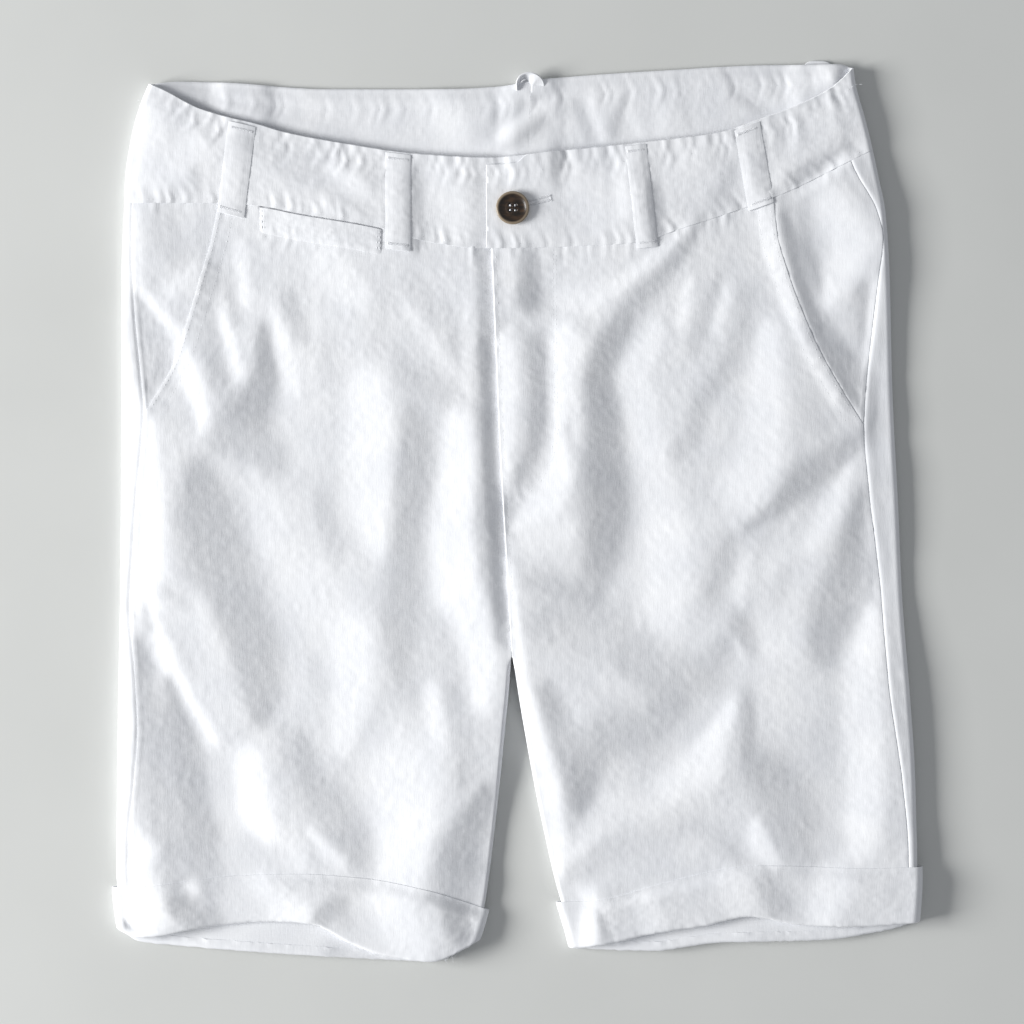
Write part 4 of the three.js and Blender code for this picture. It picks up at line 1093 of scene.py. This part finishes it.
def make_coin_welt(linen):
    outer, inner, tall = COIN_WELT["outer"], COIN_WELT["inner"], COIN_WELT["height"]

    def place_at(u, v):
        x = mix(outer, inner, u)
        return x, front_seam(x) - 1.1 - tall * v

    def height(x, y, u, v):
        made = front_cloth(x, y) + 0.1 + WELT - 0.4 * v**8 - 0.35 * np.abs(2 * u - 1) ** 24
        return made + 0.15 * np.exp(-((v * tall / 2.5) ** 2))

    points = strip_grid(place_at, height, 70, 22)
    cloth_piece("coin_welt", shell(points, WELT, -1), linen)


def lathe(profile, count):
    """A closed turned body from (radius, height) pairs that start and end on the axis."""
    angles = np.arange(count) * 2 * np.pi / count
    rings = [np.c_[r * np.cos(angles), r * np.sin(angles), np.full(count, z)] for r, z in profile[1:-1]]
    vertices = np.concatenate(rings + [[[0, 0, profile[0][1]], [0, 0, profile[-1][1]]]])
    step_on = np.roll(np.arange(count), -1)
    ring = np.arange(count)
    faces = []
    for k in range(len(rings) - 1):
        a, b = ring + k * count, step_on + k * count
        faces += np.c_[a, b, b + count, a + count].tolist()
    bottom, top = len(rings) * count, len(rings) * count + 1
    last = (len(rings) - 1) * count
    faces += [[bottom, int(j), int(i)] for i, j in zip(ring, step_on)]
    faces += [[top, int(i + last), int(j + last)] for i, j in zip(ring, step_on)]
    return vertices, faces


def plain_mesh(name, vertices, faces, finish):
    mesh = bpy.data.meshes.new(name)
    mesh.from_pydata((np.asarray(vertices) * 0.001).tolist(), [], faces)
    mesh.update()
    mesh.polygons.foreach_set("use_smooth", np.full(len(mesh.polygons), True))
    mesh.set_sharp_from_angle(angle=math.radians(HARD_SHARP_ANGLE))
    made = bpy.data.objects.new(name, mesh)
    bpy.context.scene.collection.objects.link(made)
    made.data.materials.append(finish)
    return made


BUTTON_BASE = float(cover(np.array([BUTTON_X]), np.array([BUTTON_Y]))[0]) + BAND_PROUD + 0.25


def make_button(horn):
    r, h = BUTTON_RADIUS, BUTTON_HEIGHT
    profile = [
        (0, 0), (0.6 * r, 0), (0.8 * r, 0.1 * h), (0.93 * r, 0.3 * h), (0.99 * r, 0.55 * h),
        (r, 0.7 * h), (0.985 * r, 0.84 * h), (0.95 * r, 0.95 * h), (0.9 * r, h), (0.85 * r, 0.98 * h),
        (0.8 * r, 0.9 * h), (0.74 * r, 0.76 * h), (0.66 * r, 0.64 * h), (0.58 * r, 0.58 * h),
        (0.48 * r, 0.56 * h), (0.44 * r, 0.58 * h), (0.4 * r, 0.64 * h), (0.37 * r, 0.66 * h),
        (0.2 * r, 0.66 * h), (0, 0.66 * h),
    ]
    disc = plain_mesh("button_horn", *lathe(profile, 72), horn)
    cutters = []
    for k in range(4):
        angle = math.radians(45 + 90 * k)
        bpy.ops.mesh.primitive_cylinder_add(
            vertices=20, radius=0.0011, depth=0.02,
            location=(0.0021 * math.cos(angle), 0.0021 * math.sin(angle), 0),
        )
        cutters.append(bpy.context.object)
    for cutter in cutters:
        cut = disc.modifiers.new("hole", "BOOLEAN")
        cut.object, cut.operation, cut.solver = cutter, "DIFFERENCE", "EXACT"
    bpy.context.view_layer.objects.active = disc
    for cut in list(disc.modifiers):
        with bpy.context.temp_override(object=disc):
            bpy.ops.object.modifier_apply(modifier=cut.name)
    for cutter in cutters:
        bpy.data.objects.remove(cutter)
    disc.data.transform(Matrix.Translation(Vector((BUTTON_X, BUTTON_Y, BUTTON_BASE)) * 0.001))
    dress(disc, "button")


# Thread
def capsule_strings(paths, radius, sides=6, taper=(0.45, 1.0, 0.45)):
    """Short rounded threads through each path's points."""
    vertices, faces = [], []
    around = np.arange(sides) * 2 * np.pi / sides
    for path in paths:
        path = np.asarray(path, float)
        base = len(vertices)
        sizes = np.interp(np.linspace(0, 1, len(path)), np.linspace(0, 1, len(taper)), taper) * radius
        tangents = np.gradient(path, axis=0)
        for p, t, size in zip(path, tangents, sizes):
            t = t / max(np.linalg.norm(t), 1e-9)
            up = np.array([0, 0, 1.0]) if abs(t[2]) < 0.9 else np.array([1.0, 0, 0])
            a = np.cross(t, up)
            a /= np.linalg.norm(a)
            b = np.cross(a, t)
            vertices += [p + size * (math.cos(w) * a + math.sin(w) * b) for w in around]
        for k in range(len(path) - 1):
            for i in range(sides):
                j = (i + 1) % sides
                low, high = base + k * sides, base + (k + 1) * sides
                faces.append([low + i, low + j, high + j, high + i])
        faces.append([base + i for i in reversed(range(sides))])
        faces.append([base + (len(path) - 1) * sides + i for i in range(sides)])
    return vertices, faces


def even_points(line, spacing):
    line = np.asarray(line, float)
    run = np.r_[0, np.cumsum(np.hypot(*np.diff(line, axis=0).T))]
    count = max(2, int(run[-1] / spacing))
    at = np.linspace(0, run[-1], count)
    return np.c_[np.interp(at, run, line[:, 0]), np.interp(at, run, line[:, 1])]


STITCH_LENGTH, STITCH_GAP, THREAD = 1.8, 0.9, 0.15


def stitches(lines, face):
    """Stitches along the lines, each on the face below it and a little sunk at its ends."""
    paths = []
    for line in lines:
        points = even_points(line, (STITCH_LENGTH + STITCH_GAP) / 2)
        for a, b in zip(points[:-1:2], points[1::2]):
            direction = (b - a) / max(np.hypot(*(b - a)), 1e-9)
            middle = (a + b) / 2
            ends = [middle - direction * STITCH_LENGTH / 2, middle, middle + direction * STITCH_LENGTH / 2]
            paths.append([ends[0], ends[1], ends[2]])
    flat = np.array(paths)
    z = face(flat[..., 0], flat[..., 1]) + np.array([-0.15, -0.02, -0.15])
    return [np.c_[p, q] for p, q in zip(flat, z)]


def bar_tack(x, y, width, face, angle=0.0, proud=0.06):
    """A dense row of threads side by side, over a bar of that width."""
    made = []
    along = np.array([math.cos(angle), math.sin(angle)])
    across = np.array([-along[1], along[0]])
    for t in np.arange(-width / 2, width / 2, 0.42):
        ends = [np.array([x, y]) + along * t + across * s for s in (-0.9, 0, 0.9)]
        flat = np.array(ends)
        z = face(flat[:, 0], flat[:, 1]) + np.array([-0.06, proud, -0.06])
        made.append(np.c_[flat, z])
    return made


def loop_tacks():
    made = []
    for _, top_x, top_y, end_x, end_y, width in FRONT_LOOPS:
        for x, y in ((top_x, top_y - 3.2), (end_x, end_y + 3.2)):

            def face(a, b):
                return cover(a, b) + BAND_PROUD + 0.17 + loop_bulge((a - x) / width + 0.5)

            made += bar_tack(x, y, width - 3, face, math.atan(band_slope(x)))
    return made


BUTTONHOLE = from_picture([(520, 207), (550, 199)])


def buttonhole_threads(face):
    (x0, y0), (x1, y1) = BUTTONHOLE
    angle = math.atan2(y1 - y0, x1 - x0)
    across = np.array([-math.sin(angle), math.cos(angle)])
    length = math.hypot(x1 - x0, y1 - y0)
    made = []
    for side in (-1, 1):
        middle = np.array([(x0 + x1) / 2, (y0 + y1) / 2]) + across * side * 1.3
        made += bar_tack(*middle, length, face, angle, 0.3)
    return made + bar_tack(x1 + 0.4, y1, 4, face, angle + math.pi / 2, 0.3)


def button_threads():
    """Thread that comes up through each hole and turns down into it again."""
    z = BUTTON_BASE + 0.66 * BUTTON_HEIGHT
    made = []
    for x, y in ((1.5, 1.5), (-1.5, 1.5), (-1.5, -1.5), (1.5, -1.5)):
        ends = [(1.25, -1.6), (1.0, -0.1), (0.85, 0.1), (1.0, -0.1), (1.25, -1.6)]
        shifts = (0, -0.1, 0, 0.1, 0)
        made.append([(BUTTON_X + k * x + s, BUTTON_Y + k * y, z + c) for (k, c), s in zip(ends, shifts)])
    return made


FRAYED_ENDS = [(434, 955), (438, 957), (442, 955), (445, 958), (448, 955), (451, 957), (453, 953)]


def loose_ends():
    """The frayed end of the cuff's seam allowance."""
    random = np.random.default_rng(3)
    made = []
    for x, y in from_picture(FRAYED_ENDS):
        for _ in range(3):
            start = np.array([x, y + 1.5, 3.2 + random.uniform(-0.8, 0.8)])
            turn = random.uniform(-1.2, 0.4)
            reach = random.uniform(2.5, 5.0)
            bend = np.array([math.sin(turn) * reach, -math.cos(turn) * reach, random.uniform(-1.5, 0.4)])
            curl = np.array([random.uniform(-0.8, 0.8), random.uniform(-0.6, 0.6), random.uniform(0, 0.7)])
            made.append([start, start + bend * 0.5 + curl, start + bend])
    return made


def make_threads(thread):
    band_right, band_left = band_face(RIGHT), band_face(LEFT)
    fronts = {h["name"]: front_face(h) for h in (RIGHT, LEFT)}
    made = {"stitching_front": [], "stitching_waistband": [], "stitching_cuffs": []}
    made["stitching_loops"] = loop_tacks()
    for half in (RIGHT, LEFT):
        face = fronts[half["name"]]
        made["stitching_front"] += stitches(pocket_lines(half), face)
        made["stitching_cuffs"] += stitches(
            [level_line(half["cuff_top"], half["cuff_span"][0] + 12, half["cuff_span"][1] - 16, -2.4)],
            cuff_layer(half)["top"],
        )
    second = [(x + 1.6, y - 0.6) for x, y in J_STITCH]
    made["stitching_front"] += stitches([J_STITCH, second, FLY_LINE], fronts["left"])
    made["stitching_front"] += stitches([coin_line(18)], fronts["right"])
    made["stitching_waistband"] += stitches(waist_lines(-226, -20)[1:], band_right)
    made["stitching_waistband"] += stitches(waist_lines(-15, 208)[1:], band_left)
    made["stitching_waistband"] += stitches(INSIDE_LINES, lambda x, y: band_inside(x, y) + BAND)
    made["stitching_waistband"] += buttonhole_threads(band_left)

    def welt_face(x, y):
        return front_cloth(x, y) + 0.1 + WELT

    outer, inner = COIN_WELT["outer"], COIN_WELT["inner"]
    for x in (outer + 1, outer + 2.6, inner - 1, inner - 2.6):
        made["stitching_front"] += stitches([[(x, front_seam(x) - 2), (x, front_seam(x) - 15)]], welt_face)
    strings = {name: capsule_strings(paths, THREAD) for name, paths in made.items()}
    strings["button_thread"] = capsule_strings(button_threads(), 0.5, taper=(1, 1))
    strings["frayed_end"] = capsule_strings(loose_ends(), 0.2, taper=(1, 0.4))
    for name, string in strings.items():
        dress(plain_mesh(name, *string, thread), None)


# Materials
def new_material(name):
    made = bpy.data.materials.new(name)
    made.use_nodes = True
    return made, made.node_tree.nodes, made.node_tree.links, made.node_tree.nodes["Principled BSDF"]


def noise(nodes, links, coordinates, scale, detail=3.0, roughness=0.5):
    node = nodes.new("ShaderNodeTexNoise")
    node.inputs["Scale"].default_value = scale
    node.inputs["Detail"].default_value = detail
    node.inputs["Roughness"].default_value = roughness
    links.new(coordinates, node.inputs["Vector"])
    return node.outputs["Fac"]


def ramp(nodes, links, factor, dark, light, low=0.3, high=0.7):
    node = nodes.new("ShaderNodeValToRGB")
    node.color_ramp.elements[0].position, node.color_ramp.elements[1].position = low, high
    node.color_ramp.elements[0].color, node.color_ramp.elements[1].color = (*dark, 1), (*light, 1)
    links.new(factor, node.inputs["Fac"])
    return node.outputs["Color"]


def bump(nodes, links, height, distance, strength, under=None):
    node = nodes.new("ShaderNodeBump")
    node.inputs["Distance"].default_value = distance
    node.inputs["Strength"].default_value = strength
    links.new(height, node.inputs["Height"])
    if under is not None:
        links.new(under, node.inputs["Normal"])
    return node.outputs["Normal"]


def stretched(nodes, links, coordinates, scale):
    node = nodes.new("ShaderNodeMapping")
    node.inputs["Scale"].default_value = scale
    links.new(coordinates, node.inputs["Vector"])
    return node.outputs["Vector"]


WEAVE_SCALE = 400
LINEN_DARK, LINEN_LIGHT = (0.80, 0.815, 0.85), (0.88, 0.89, 0.915)


def linen_material():
    made, nodes, links, shader = new_material("linen")
    at = nodes.new("ShaderNodeTexCoord").outputs["Object"]
    tone = ramp(nodes, links, noise(nodes, links, at, 35, 4), LINEN_DARK, LINEN_LIGHT)
    links.new(tone, shader.inputs["Base Color"])
    shader.inputs["Roughness"].default_value = 0.85
    shader.inputs["Sheen Weight"].default_value = 0.12
    shader.inputs["Sheen Roughness"].default_value = 0.5
    shader.inputs["Specular IOR Level"].default_value = 0.2
    waves = []
    for direction in ("X", "Y"):
        wave = nodes.new("ShaderNodeTexWave")
        wave.bands_direction = direction
        wave.inputs["Scale"].default_value = WEAVE_SCALE
        wave.inputs["Distortion"].default_value = 1.5
        wave.inputs["Detail"].default_value = 1.0
        wave.inputs["Detail Scale"].default_value = 0.6
        links.new(at, wave.inputs["Vector"])
        waves.append(wave.outputs["Fac"])
    weave = nodes.new("ShaderNodeMath")
    weave.operation = "MULTIPLY"
    links.new(waves[0], weave.inputs[0])
    links.new(waves[1], weave.inputs[1])
    normal = bump(nodes, links, weave.outputs[0], 0.0001, 0.25)
    slub_across = noise(nodes, links, stretched(nodes, links, at, (260, 1800, 800)), 1, 2)
    normal = bump(nodes, links, slub_across, 0.0002, 0.15, normal)
    slub_along = noise(nodes, links, stretched(nodes, links, at, (1800, 260, 800)), 1, 2)
    normal = bump(nodes, links, slub_along, 0.0003, 0.2, normal)
    normal = bump(nodes, links, noise(nodes, links, at, 90, 3, 0.5), 0.0006, 0.08, normal)
    links.new(normal, shader.inputs["Normal"])
    return made


def thread_material():
    made, nodes, links, shader = new_material("thread")
    at = nodes.new("ShaderNodeTexCoord").outputs["Object"]
    tone = noise(nodes, links, at, 600, 2)
    links.new(ramp(nodes, links, tone, (0.84, 0.85, 0.88), (0.9, 0.91, 0.93)), shader.inputs["Base Color"])
    shader.inputs["Roughness"].default_value = 0.6
    links.new(bump(nodes, links, noise(nodes, links, at, 4000, 1), 0.0001, 0.3), shader.inputs["Normal"])
    return made


def horn_material():
    made, nodes, links, shader = new_material("horn")
    at = nodes.new("ShaderNodeTexCoord").outputs["Object"]
    streaks = noise(nodes, links, stretched(nodes, links, at, (140, 420, 200)), 1, 5, 0.6)
    horn = ramp(nodes, links, streaks, (0.007, 0.004, 0.002), (0.055, 0.028, 0.012), 0.38, 0.68)
    # Towards its edge the horn is mixed to a lighter brown: a painted highlight standing in for the light the
    # raised rim catches
    from_middle = nodes.new("ShaderNodeVectorMath")
    from_middle.operation = "DISTANCE"
    from_middle.inputs[1].default_value = Vector((BUTTON_X, BUTTON_Y, BUTTON_BASE + BUTTON_HEIGHT)) * 0.001
    links.new(at, from_middle.inputs[0])
    reach = BUTTON_RADIUS * 0.001
    rim = nodes.new("ShaderNodeMapRange")
    rim.inputs["From Min"].default_value, rim.inputs["From Max"].default_value = 0.8 * reach, 0.9 * reach
    links.new(from_middle.outputs["Value"], rim.inputs["Value"])
    rim_highlight = nodes.new("ShaderNodeMix")
    rim_highlight.data_type = "RGBA"
    links.new(rim.outputs["Result"], rim_highlight.inputs["Factor"])
    inner, outer = [s for s in rim_highlight.inputs if s.type == "RGBA"]
    links.new(horn, inner)
    outer.default_value = (0.26, 0.205, 0.145, 1)
    mixed = next(s for s in rim_highlight.outputs if s.type == "RGBA")
    links.new(mixed, shader.inputs["Base Color"])
    shader.inputs["Roughness"].default_value = 0.32
    shader.inputs["Coat Weight"].default_value = 0.3
    shader.inputs["Coat Roughness"].default_value = 0.25
    links.new(bump(nodes, links, noise(nodes, links, at, 900, 3), 0.00015, 0.2), shader.inputs["Normal"])
    return made


def floor_material():
    made, nodes, links, shader = new_material("pale_floor")
    at = nodes.new("ShaderNodeTexCoord").outputs["Object"]
    tone = ramp(nodes, links, noise(nodes, links, at, 9, 3), (0.635, 0.645, 0.63), (0.66, 0.67, 0.655))
    links.new(tone, shader.inputs["Base Color"])
    shader.inputs["Roughness"].default_value = 0.8
    shader.inputs["Specular IOR Level"].default_value = 0.2
    return made


# Stage, lights and camera
def make_stage():
    bpy.ops.mesh.primitive_plane_add(size=6, location=(0, 0, -0.0003))
    floor = bpy.context.object
    floor.name = "floor"
    floor.data.materials.append(floor_material())


KEY_ELEVATION, KEY_DISTANCE, KEY_POWER, AMBIENT = 21, 3.8, 236, 0.35
CAMERA_HEIGHT = 1.8


def make_lights():
    a, e = math.radians(LIGHT_AZIMUTH), math.radians(KEY_ELEVATION)
    away = Vector((math.cos(a) * math.cos(e), math.sin(a) * math.cos(e), math.sin(e)))
    key = bpy.data.lights.new("key", "AREA")
    key.shape, key.size, key.size_y, key.energy = "RECTANGLE", 1.9, 1.2, KEY_POWER
    key.color = (1, 0.995, 0.98)
    lamp = bpy.data.objects.new("key", key)
    lamp.location = away * KEY_DISTANCE
    lamp.rotation_euler = away.to_track_quat("Z", "Y").to_euler()
    bpy.context.scene.collection.objects.link(lamp)
    world = bpy.data.worlds.new("studio")
    world.use_nodes = True
    background = world.node_tree.nodes["Background"]
    background.inputs["Color"].default_value = (0.93, 0.955, 1, 1)
    background.inputs["Strength"].default_value = AMBIENT
    bpy.context.scene.world = world


def make_camera():
    centre_x = (512 - PICTURE_X0) * PICTURE_UNIT / 1000
    centre_y = (PICTURE_Y0 - 512) * PICTURE_UNIT / 1000
    data = bpy.data.cameras.new("camera")
    data.sensor_width = 36
    data.lens = 36 * CAMERA_HEIGHT / (1024 * PICTURE_UNIT / 1000)
    camera = bpy.data.objects.new("camera", data)
    camera.location = (centre_x, centre_y, CAMERA_HEIGHT)
    bpy.context.scene.collection.objects.link(camera)
    bpy.context.scene.camera = camera


# The scene
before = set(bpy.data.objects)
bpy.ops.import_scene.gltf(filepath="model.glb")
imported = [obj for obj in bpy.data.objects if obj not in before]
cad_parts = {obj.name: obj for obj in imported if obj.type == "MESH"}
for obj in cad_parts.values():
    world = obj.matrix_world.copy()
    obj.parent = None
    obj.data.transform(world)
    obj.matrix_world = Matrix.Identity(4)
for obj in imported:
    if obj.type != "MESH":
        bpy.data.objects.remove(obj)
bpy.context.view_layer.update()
linen, thread, horn = linen_material(), thread_material(), horn_material()
for half in (RIGHT, LEFT):
    make_front(half, linen)
    make_pocket_side(half, linen)
    make_back(half, linen)
    make_waistband(half, linen)
    make_cuff(half, linen)
for loop in FRONT_LOOPS:
    make_front_loop(loop, linen)
for loop in BACK_LOOPS:
    make_back_loop(loop, linen)
make_loop_arch(linen)
make_coin_welt(linen)
make_button(horn)
make_threads(thread)
make_stage()
make_lights()
make_camera()
bpy.context.scene.view_settings.view_transform = "Standard"
bpy.context.view_layer.update()
